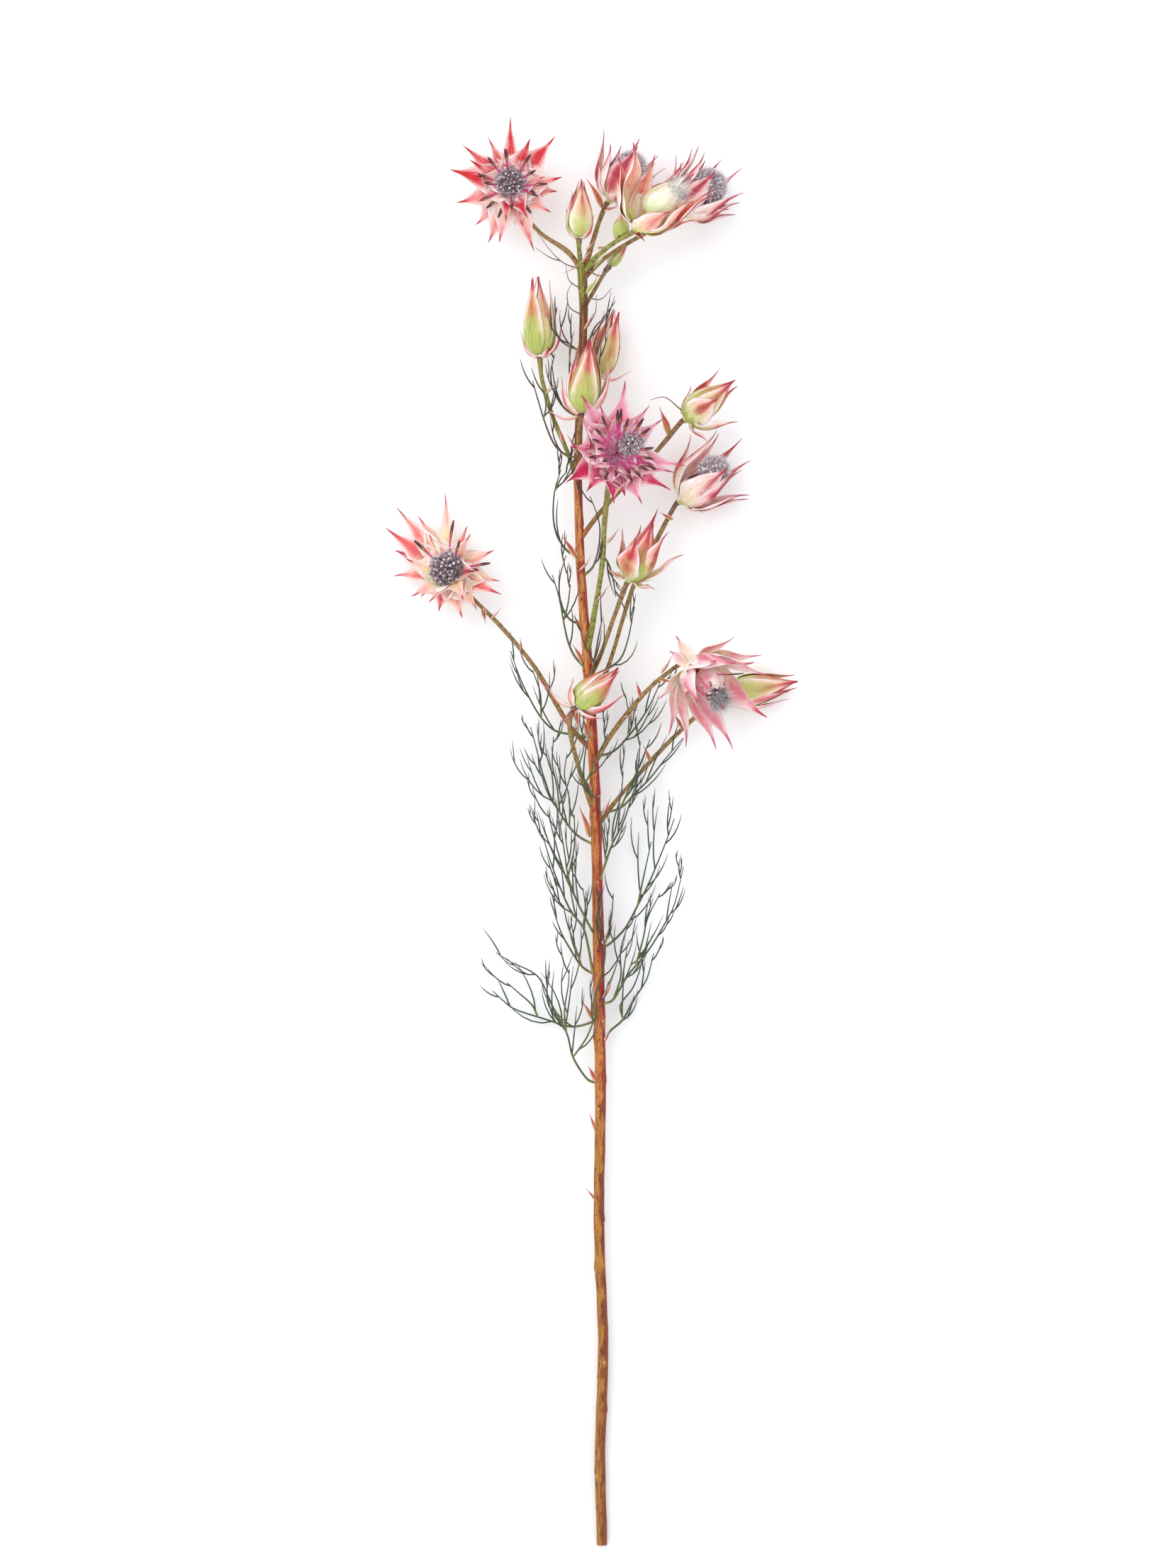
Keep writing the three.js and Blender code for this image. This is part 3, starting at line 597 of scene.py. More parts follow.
# Each head: its kind, colours and size, and for each bract its tip in the plan and its half width.
HEADS = {
    "crown_left": ("open", "coral", 0.95, [
        (-38, 584, 18, 3.0), (-46, 577, 21, 3.2), (-55, 573, 19, 3.4), (-60, 562, 18, 4.4),
        (-57, 548, 17, 4.2), (-50, 541, 14, 4.2), (-45, 534, 16, 4.6), (-41, 533, 19, 4.6),
        (-33, 541, 22, 4.8), (-27, 533, 15, 3.6), (-22, 546, 21, 5.0), (-18, 553, 19, 5.2),
        (-17, 559, 22, 4.4), (-19, 575, 20, 4.0), (-28, 574, 22, 4.4),
        (-52, 566, 22, 4.2),
    ]),
    "crown_middle": ("cup", "dusky", 0.9, [
        (0.5, 580, 12, 3.0), (4, 575, 9, 2.6), (7.4, 575, 6, 2.6), (15, 577, 6, 3.0), (22.6, 570, 9, 2.6),
        (25.7, 564.5, 14, 2.0), (24, 559, 9, 3.0), (8.6, 552.7, 20, 3.0), (-1, 566, 17, 3.0),
        (3.8, 572.5, 20, 4.0),
        (21.6, 565.6, 19, 3.4), (14.6, 573, 24, 5.2),
    ]),
    "crown_front": ("closed", "glow", 1.05, [
        (33, 563, 33, 3.4), (22, 567, 34, 3.4), (36.6, 540.8, 39, 3.0), (44.3, 551.3, 42, 2.8),
        (4.8, 558.8, 40, 3.4), (7.7, 565, 44, 5.2), (13.8, 570, 47, 7.2), (42.6, 550.6, 45, 4.0),
        (36, 548, 49, 4.4), (25.7, 544.5, 51, 4.6),
    ]),
    "crown_right": ("cup", "dusky", 1.0, [
        (29.8, 570.6, 9, 2.2), (33, 566, 6, 2.6), (36.6, 571.9, 8, 2.6), (42.4, 568.3, 5, 3.0),
        (48.1, 568, 7, 2.4), (56.3, 563.1, 9, 2.2), (56.5, 555.1, 14, 2.6), (55.4, 550.6, 15, 3.4),
        (53.3, 545.9, 10, 3.6), (40.3, 573.2, 16, 3.2), (43, 568, 20, 4.2), (52, 547.6, 19, 4.6),
        (54.6, 552.4, 22, 4.4), (46, 561.4, 25, 4.8),
    ]),
    "middle_open": ("bowl", "rose", 1.0, [
        (-8, 469.6, 44, 5.4), (11, 476, 34, 4.6), (24, 461, 31, 3.6), (34, 444, 30, 3.4), (28, 439, 32, 3.8),
        (26, 432.5, 34, 4.4), (18, 428.5, 38, 4.8), (9, 430, 40, 5.2), (3, 428, 42, 4.6), (-5, 432, 45, 5.6),
        (-15, 437, 42, 4.6), (-11, 449, 45, 5.2), (-9, 460, 43, 4.6), (19, 466, 34, 3.8), (2, 466, 40, 4.8),
    ]),
    "right_upper": ("closed", "budded", 0.92, [
        (47.9, 482.4, 18, 2.2), (36.7, 475, 24, 2.2), (56, 473.9, 20, 2.8), (43.3, 452, 24, 2.2),
        (54.4, 459.2, 25, 3.6), (47.4, 468.9, 34, 5.2),
    ]),
    "right_middle": ("cup", "dusky", 1.0, [
        (36.3, 454.6, 8, 2.4), (49, 457, 6, 2.6), (56.4, 452.4, 9, 2.6), (59.5, 445.4, 11, 2.4),
        (60, 433, 7, 2.8), (58.2, 440.6, 16, 2.8), (58.6, 429.9, 13, 3.6), (41, 424, 13, 2.6),
        (58, 431, 17, 4.2), (45.6, 454, 20, 5.0), (54.6, 437.4, 22, 4.4), (51, 441, 26, 5.4),
    ]),
    "right_lower": ("closed", "budded", 0.84, [
        (8, 417, 28, 3.2), (16, 418.5, 24, 3.0), (22, 424, 28, 3.0), (32, 407, 31, 3.2), (22, 392, 30, 2.8),
        (2.5, 399.5, 30, 2.2), (26, 414, 37, 4.2), (14, 411, 43, 5.0),
    ]),
    "left_open": ("open", "cream", 1.1, [
        (-82.4, 426.3, 3, 3.2), (-63.5, 430, 4, 2.8), (-87.4, 416, 2, 4.2), (-84, 408, 4, 4.4),
        (-84.9, 398.1, 4, 3.4), (-73.7, 390.2, 11, 4.2), (-66, 384, 18, 4.0), (-56.2, 380.5, 22, 4.0),
        (-50, 386, 24, 4.2), (-41.2, 390.4, 24, 3.8), (-42, 396, 22, 4.2), (-44.1, 408.3, 18, 4.4),
        (-55, 417, 14, 3.8), (-72, 420, 8, 4.0),
    ]),
    "low_right": ("closed", "blushing", 1.06, [
        (31.2, 372.5, 24, 2.8), (29.2, 367.6, 29, 2.4), (53.1, 371.9, 24, 2.6), (63.6, 365.1, 26, 3.1),
        (69.5, 358.5, 29, 3.1), (26.7, 334.3, 20, 3.5), (23.9, 347.6, 27, 3.1), (34.8, 328.9, 27, 3.8),
        (45.9, 328.3, 25, 3.8), (54.3, 329.7, 29, 3.8), (65.6, 341.3, 33, 6.1), (62, 360.6, 34, 5.2),
        (34.8, 348.3, 37, 5.2), (38.5, 345.6, 40, 5.4), (53, 360.6, 42, 6.6), (46, 361.6, 44, 6.1),
    ]),
}
BALLS = {  # the closed ball in a head: its foot and tip in the plan, its radius and how far it has opened
    "crown_front": ((18.6, 543.4, 39), (37.5, 559, 44), 6.1, 0.5),
    "right_upper": ((34, 461.4, 22), (54.4, 477, 25), 5.4, 0.0),
    "right_lower": ((12, 396, 28), (21, 419, 34), 5.4, 0.0),
    "low_right": ((42, 357.6, 27), (50.4, 342, 38), 6.1, 0.45),
}
EGG_LEANS = [62, 30, 4, -8, -17, -22, -22, -14]
EGG_WIDTHS = [0.5, 0.86, 1, 0.98, 0.86, 0.62, 0.33, 0.12, 0.03]
EGG_TALL, EGG_RADIUS = 30.0, 5.5  # what those leans give


def skyward(facing):
    """The turn, in degrees, of the side of a head or bud that faces up from the table."""
    return math.degrees(math.atan2(-facing[1], -facing[0]))


def egg(tall, radius, up, spread=0.0, opened=0.0):
    """Six broad bracts that wrap round an egg and meet at its tip. up is the turn of the one that shows
    most, spread leans the outer three away, and opened leans all tips away."""
    broad = radius / tall * EGG_TALL / EGG_RADIUS
    grown = tall / (EGG_TALL * 0.97)
    leans = np.array(EGG_LEANS) * broad + opened * np.array([0, 0, 0, 2, 6, 14, 24, 30])
    inner = bracts(up + np.array([60, 180, 300]), EGG_TALL * 1.06, 6.6 * broad, leans, start=1.2, rise=0.3,
                   cup=0.05, hug=1.0, roll=0.3, wave=0.0, widths=EGG_WIDTHS, loose=0.25, layer=0.1)
    leans = leans + 3.5 * spread * np.arange(8)
    outer = bracts(up + np.array([120, -120, 0]), EGG_TALL * 1.02, 5.9 * broad, leans, start=1.6, rise=0.1,
                   cup=0.08, hug=0.86, roll=0.5, wave=0.02, widths=EGG_WIDTHS, loose=0.35, layer=0.22)
    shape = joined([inner, outer])
    return {**shape, "points": shape["points"] * grown}


RECEPTACLE = [
    [0, 0, -0.6, 1.2], [0, 0, 0.4, 2.0], [0, 0, 1.4, 2.8], [0, 0, 2.6, 3.0],
    [0, 0, 3.8, 2.2], [0, 0, 4.4, 0.6],
]
receptacle_route = smooth(RECEPTACLE, 12)

for name, (kind, finish_name, size, given) in HEADS.items():
    foot, facing = seat(f"{name}_florets", f"{name}_stalk")
    receptacle = tubes(receptacle_route[None, :, :3], receptacle_route[None, :, 3], 16, 0.4)
    add_piece(f"{name}_receptacle", placed(receptacle, foot, facing, size), bud_finish, "bract")
    bow, hold = HOLDS[kind]
    tips = np.array(given, float)
    turns, lengths, leans = aimed(tips[:, :3], foot, facing, size, bow, 1.6, hold["rise"])
    rings = [bracts(turns, lengths, tips[:, 3] * BREADTH[kind] / size, leans, layer=0.06, loose=0.7, **hold)]
    if kind in ("open", "bowl"):
        turns = 360 / 7 * (np.arange(7) + 0.3 * random_of.normal(size=7))
        rings.append(bracts(turns, 15.5, 5.6, [46, 58, 68, 72, 66], rise=2.4, cup=0.5, wave=0.22))
    elif kind == "cup":
        turns = skyward(facing) + 30 + 60 * np.arange(6)
        rings.append(bracts(turns, 15.5, 4.2, [78, 40, 12, -4, -14, -8], rise=1.9, cup=0.3, hug=0.8))
    cup_of_bracts = placed(joined(rings), foot, facing, size)
    add_piece(f"{name}_bract_cup", cup_of_bracts, BRACT_FINISHES[finish_name], "bract", f"{name}_bracts")
    if name in BALLS:
        start, tip, radius, opened = BALLS[name]
        foot, way = plan(start), plan(tip) - plan(start)
        ball = egg(np.linalg.norm(way) / MM, radius, skyward(unit(way)) + 15, 0.0, opened)
        ball_paint = BALL_FINISHES.get(name, bud_finish)
        add_piece(f"{name}_ball", placed(ball, foot, unit(way)), ball_paint, "bract")


# ---------------------------------------------------------------- domes of florets
# Inside each cup the florets stand packed into a dome. A floret that is still closed is a dark purple
# club with a silky tip, and all of them together look like a ball of silver-grey fur.

# A dome is an egg of florets: how high its middle is, its radius and half height, its number of hairs,
# their length and how pale they are.
DOMES = {
    "crown_left": (6.6, 5.4, 4.8, 1000, 1.3, 0.4),
    "crown_middle": (17.6, 6.6, 7.0, 3400, 1.6, 0.5),
    "crown_front": (9.0, 4.4, 6.4, 600, 2.4, 0.4),
    "crown_right": (15.4, 6.8, 7.4, 3400, 1.6, 0.5),
    "middle_open": (6.6, 4.4, 4.2, 1200, 1.3, 0.7),
    "right_upper": (8.0, 3.2, 5.0, 200, 1.2, 0.5),
    "right_middle": (18.6, 5.6, 6.4, 3000, 1.5, 0.5),
    "right_lower": (8.0, 3.2, 5.0, 200, 1.2, 0.5),
    "left_open": (6.4, 5.8, 5.4, 1200, 1.3, 0.4),
    "low_right": (8.6, 4.0, 6.2, 600, 2.4, 0.4),
}
CLUB_RADII = np.array([0.4, 0.55, 0.72, 0.66, 0.36, 0.05])


def on_dome(middle, radius, half_height, count, lowest=2.0, jitter=0.0):
    """Points spread over a half-ellipsoid by golden turns, and the ways out of it. Equal steps of
    height give equal areas, and jitter moves each point by that share of a step."""
    order = np.arange(count) + 0.5 + jitter * random_of.normal(size=count)
    height = np.clip(1 - lowest * order / count, -0.98, 0.999)
    level = np.sqrt(1 - height**2)
    turn = np.arange(count) * GOLDEN_TURN + jitter * random_of.normal(size=count)
    ball = np.stack([level * np.cos(turn), level * np.sin(turn), height], axis=-1)
    reach = np.array([radius, radius, half_height])
    return ball * reach + [0, 0, middle], unit(ball / reach)


def wisps(starts, ways, lengths, curl, radius, tone, steps=4):
    """Fine hairs: each leaves its start along its way and bends aside by curl, the more the further."""
    count = len(starts)
    share = np.linspace(0, 1, steps)[None, :, None]
    lengths = np.broadcast_to(lengths, (count,))[:, None, None]
    aside = random_of.normal(size=(count, 1, 3)) * curl
    paths = starts[:, None] + lengths * (share * ways[:, None] + share**2 * aside)
    taper = radius * (1 - 0.8 * share[..., 0])
    return tubes(paths, taper, 3, np.broadcast_to(tone, (count,)))


def floret_dome(middle, radius, half_height, clubs):
    """A lumpy ball, and on it closed florets: short tubes that swell like clubs."""
    rows, sides = 16, 32
    pole = np.linspace(math.pi - 0.05, 0.05, rows)[:, None]
    turn = np.linspace(0, 2 * math.pi, sides, endpoint=False)[None, :]
    swell = 1 + 0.03 * np.sin(5 * turn + 3 * pole) * np.sin(pole)
    ball = np.stack([
        radius * swell * np.sin(pole) * np.cos(turn), radius * swell * np.sin(pole) * np.sin(turn),
        middle + half_height * np.cos(pole) + 0 * turn,
    ], axis=-1)[None]
    core = loft(ball, along=np.zeros((1, 1, 1)), across=np.zeros((1, 1, 1)), tone=0.1 * np.ones((1, 1, 1)),
                inside=np.ones((1, 1, 1)))
    feet, ways = on_dome(middle, radius - 0.6, half_height - 0.6, clubs, 1.5, 0.12)
    ways = unit(ways + 0.12 * random_of.normal(size=ways.shape))
    lengths = (1.7 + 0.35 * random_of.normal(size=clubs))[:, None, None]
    share = np.linspace(0, 1, len(CLUB_RADII))[None, :, None]
    paths = feet[:, None] + lengths * share * ways[:, None]
    return joined([core, tubes(paths, 0.86 * CLUB_RADII[None], 6, random_of.random(clubs))])


def floret_skin(name, *colours):
    finish = Finish(name, 0.75, Sheen_Weight=0.5)
    along, tone = finish.mark("along"), finish.mark("tone")
    mottle = finish.noise(finish.place(), 1300.0, 3.0)
    share = finish.sum("ADD", finish.sum("MULTIPLY", along, 0.6), finish.sum("MULTIPLY", tone, 0.5))
    share = finish.sum("ADD", share, finish.sum("MULTIPLY", finish.sum("SUBTRACT", mottle, 0.5), 0.9))
    skin = finish.ramp(share, *zip((0.0, 0.35, 0.6, 0.85, 1.0), colours))
    finish.bump(mottle, 0.2)
    return finish.colour(skin, 1.0)


def fur(name, root, body, tip):
    finish = Finish(name, 0.55, Sheen_Weight=0.6, Sheen_Roughness=0.4)
    share = finish.sum("ADD", finish.sum("MULTIPLY", finish.mark("along"), 0.7),
                       finish.sum("MULTIPLY", finish.mark("tone"), 0.45))
    return finish.colour(finish.ramp(share, (0.05, root), (0.5, body), (0.95, tip)), 1.0)


dark_florets = floret_skin("dark_florets", "#2e1c26", "#54343f", "#8f6a77", "#d3b8c0", "#f2e6e9")
grey_florets = floret_skin("grey_florets", "#7c4f5c", "#a58690", "#c7b2b8", "#e4d6da", "#f6f0f2")
FURS = {
    "open": fur("whitish_fur", "#40303a", "#a9979f", "#f8f2f4"),
    "bowl": fur("white_fur", "#7c6a74", "#d6cace", "#ffffff"),
    "cup": fur("silver_fur", "#957c86", "#cabac1", "#fbf7f8"),
    "closed": fur("grey_fur", "#3c383b", "#8a8589", "#f4f0f1"),
}
SLIPPED = {"middle_open": (5.6, 3.6, 0), "crown_left": (0, 1.4, 0), "left_open": (0.6, 0.4, 0)}  # aside

for name, (middle, radius, half_height, hairs, hair_length, hair_tone) in DOMES.items():
    kind, _, size, _ = HEADS[name]
    foot, facing = seat(f"{name}_florets", f"{name}_stalk")
    if name in BALLS:
        start, tip = plan(BALLS[name][:2])
        foot, facing = start, unit(tip - start)
    florets = floret_dome(middle, radius, half_height, 110)
    starts, ways = on_dome(middle, radius, half_height, hairs, 0.5 if kind == "closed" else 1.7, 0.9)
    combed = {"open": 0.25, "bowl": 0.25, "cup": 0.9, "closed": 1.5}[kind]
    ways = unit(ways + 0.4 * random_of.normal(size=ways.shape) + [0, 0, combed])
    lengths = hair_length * (0.6 + 0.7 * random_of.random(hairs)) * (1.7 if kind == "closed" else 1)
    tones = np.clip(hair_tone + 0.4 * random_of.normal(size=hairs), 0, 1)
    hair = wisps(starts, ways, lengths, 0.3, 0.09, tones, 3)
    for shape in (florets, hair):
        shape["points"] = shape["points"] + SLIPPED.get(name, (0, 0, 0))
    skin = grey_florets if kind == "cup" else dark_florets
    add_piece(f"{name}_dome", placed(florets, foot, facing, size), skin, "floret_fur", f"{name}_florets")
    add_piece(f"{name}_fur", placed(hair, foot, facing, size), FURS[kind], "floret_fur")


# ---------------------------------------------------------------- open florets
# In the open heads the outer florets have unrolled. Each lobe is a magenta strap that carries a long
# dark maroon anther with a gold line at its tip, and silky white hairs stand between the lobes.

LOBE_WIDTHS = [0.6, 0.56, 0.54, 0.54, 0.56, 0.6, 0.68, 0.95, 1.06, 0.95, 0.5]
LOBE_BOW = [-34, -10, 6, 12, 12]
LOBES = {  # where the lobes of each head end in the plan, then its number of filaments and of hairs
    "crown_left": ([
        (-46.2, 567.2, 25), (-39.5, 570.4, 25), (-28.7, 568.4, 25), (-26.9, 562.5, 26), (-22.5, 557, 24),
        (-26.2, 552.2, 25), (-29.2, 545.1, 24), (-36.1, 547.1, 25), (-41.5, 543.5, 24), (-48.2, 549.8, 24),
        (-47.4, 557.3, 25), (-49.8, 560.7, 24), (-27, 554.6, 22), (-46, 547, 22),
    ], 40, 620),
    "middle_open": ([
        (5.8, 462.9, 44), (-0.1, 460.3, 46), (17.2, 459.9, 42), (-3.1, 452.4, 48), (-4.6, 443.5, 48),
        (1, 442, 49), (2.1, 436, 47), (11.8, 438.3, 45), (17.7, 439, 42), (20.4, 443.9, 41),
        (10.7, 460.3, 43),
        (20.7, 448, 40), (15.9, 437.2, 43), (6.2, 436.4, 46), (-1.3, 447.6, 49), (13, 435, 42), (22, 441, 38),
        (8, 464, 41), (-2, 456, 47), (19.5, 456, 40),
    ], 560, 820),
    "left_open": ([
        (-75.7, 411.6, 14), (-57.2, 411, 24), (-50.3, 399.4, 27), (-61.2, 420.2, 15), (-45.4, 402.6, 23),
    ], 0, 420),
    "low_right": ([(57, 357.6, 42)], 0, 0),
}


def anther_skin():
    finish = Finish("anther_skin", 0.45)
    along, across = finish.mark("along"), finish.mark("across")
    streaks = finish.noise(finish.place(), 900.0)
    lobe = finish.ramp(along, (0.0, "#f0bccd"), (0.25, "#d84f92"), (0.55, "#bf2f78"), (0.66, "#8e2a4c"))
    edge = finish.sum("ADD", finish.sum("MULTIPLY", across, across), finish.sum("MULTIPLY", streaks, 0.06))
    edge = finish.sum("ADD", edge, finish.sum("MULTIPLY", finish.between(along, 0.68, 0.86), 0.4))
    anther = finish.ramp(edge, (0.12, "#ee9a3c"), (0.24, "#96382a"), (0.36, "#451019"), (1.0, "#4e1422"))
    dark = finish.between(along, 0.66, 0.69)
    return finish.colour(finish.mix(dark, lobe, anther), 1.0)


anther_finish = anther_skin()
filament_finish = fur("filament_skin", "#b02058", "#dc4690", "#f6b4d2")
silk_finish = fur("silk", "#f7cdd2", "#fff2f2", "#ffffff")

for name, (ends, filaments, silk) in LOBES.items():
    foot, facing = seat(f"{name}_florets", f"{name}_stalk")
    size = HEADS[name][2]
    turns, lengths, leans = aimed(ends, foot, facing, size, LOBE_BOW, 3.0, 3.2)
    lobes = bracts(turns, lengths, 0.66, leans, start=3.0, rise=3.2, cup=0.8, roll=0.2, wave=0.02, thick=0.45,
                   widths=LOBE_WIDTHS, loose=0.4, mesh=(30, 5))
    add_piece(f"{name}_lobes", placed(lobes, foot, facing, size), anther_finish, "floret_fur")
    for part, count, reach, level, radius, finish in (
        ("filaments", filaments, (3.5, 8), (0.2, 1.6), 0.22, filament_finish),
        ("silk", silk, (4, 8.5), (0.15, 0.8), 0.08, silk_finish),
    ):
        if not count:
            continue
        turn = random_of.random(count) * 2 * math.pi
        climb = level[0] + (level[1] - level[0]) * random_of.random(count)
        ring = np.stack([np.cos(turn), np.sin(turn), 0 * turn], axis=-1)
        starts = ring * 4.8 * random_of.random((count, 1)) + [0, 0, 3.4]
        ways = unit(ring + climb[:, None] * [0, 0, 1] + 0.3 * random_of.normal(size=(count, 3)))
        lengths = reach[0] + (reach[1] - reach[0]) * random_of.random(count)
        tuft = wisps(starts, ways, lengths, 0.12, radius, random_of.random(count), 4)
        add_piece(f"{name}_{part}", placed(tuft, foot, facing, size), finish, "floret_fur")


# ---------------------------------------------------------------- buds
# A bud is a closed head: broad lime-green bracts with cream margins wrap its florets like an egg, and
# their rose tips draw out to one point. Small thin bracts curve up round its foot.

BUDS = {  # turn, how far the outer wraps stand away, and the tips of the small bracts under it
    "bud_crown": (10, 0.2, [(-14.5, 547, 24, 1.3), (-3, 543, 27, 1.2), (-12, 553, 26, 1.8)]),
    "bud_crown_green": (0, 0, []),
    "bud_crown_small": (30, 0, []),
    "bud_left": (-25, 0.6, [
        (-30.5, 505, 20, 2.2), (-33, 497, 18, 1.0), (-16, 501, 20, 1.2), (-21, 493, 22, 1.0),
    ]),
    "bud_behind": (20, 0.6, [(8, 491, 12, 1.3), (11.5, 481.5, 10, 1.0), (-6, 493, 10, 1.0)]),
    "bud_front": (5, 0.5, [
        (-8.5, 488, 31, 2.4), (-16, 477, 30, 2.2), (4, 482, 31, 1.9), (3, 489, 26, 1.4), (-23, 465, 26, 1.4),
    ]),
    "bud_low_front": (35, 0.3, [
        (-22, 353, 27, 1.8), (-11.5, 355, 28, 1.8), (0, 339, 28, 1.8), (9.5, 349, 27, 2.4),
        (-15, 338, 26, 1.4),
    ]),
    "bud_low_right": (0, 0.4, [(76, 350, 10, 2.2), (76, 347, 5, 2.0), (66, 345, 8, 1.8)]),
}
bractlet_finish = papery("bractlet", "#f6e4c8", "#f8cfc2", "#f0acac", "#bb3a52", 0.5)
flushed_finish = papery("flushed_wrap", "#d3cf8a", "#f0d6aa", "#f3b7a0", "#cb4a62", 0.8, 0.5, "#e2705c")
scale_finish = papery("scale_leaf", "#c9a060", "#d9986c", "#dc8a74", "#9a3a3c", 0.3, 0, "#b8573f")

for name, (first_turn, spread, bractlets) in BUDS.items():
    if f"{name}_stalk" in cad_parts:
        foot, facing = seat(name, f"{name}_stalk")
    else:
        foot, facing = seat(name, "crown_front_stalk")
    about = node_points(name) - foot
    tall = (about @ facing).max() / MM
    wide = np.linalg.norm(about - np.outer(about @ facing, facing), axis=1).max() / MM
    wraps = egg(tall, 0.86 * wide, skyward(facing) + first_turn, spread)
    wrap_paint = flushed_finish if name == "bud_behind" else bud_finish
    add_piece(f"{name}_wraps", placed(wraps, foot, facing), wrap_paint, "bud", name)
    if bractlets:
        tips = np.array(bractlets, float)
        turns, lengths, leans = aimed(tips[:, :3], foot, facing, 1, [40, 22, -2, -18, -24, -12], 0.8, -0.8)
        ring = bracts(turns, lengths, 1.9 * tips[:, 3], leans, start=0.8, rise=-0.8, cup=1.0, roll=0.6,
                      wave=0.03,
                      loose=0.6, mesh=(24, 9))
        add_piece(f"{name}_bractlets", placed(ring, foot, facing), bractlet_finish, "bract")


# ---------------------------------------------------------------- leaves
# Each leaf is a stiff thin stalk that forks over and over into leathery needles, all curving up the
# stem. They are dark grey green, with yellow-green feet and mauve tips, and browner higher up.

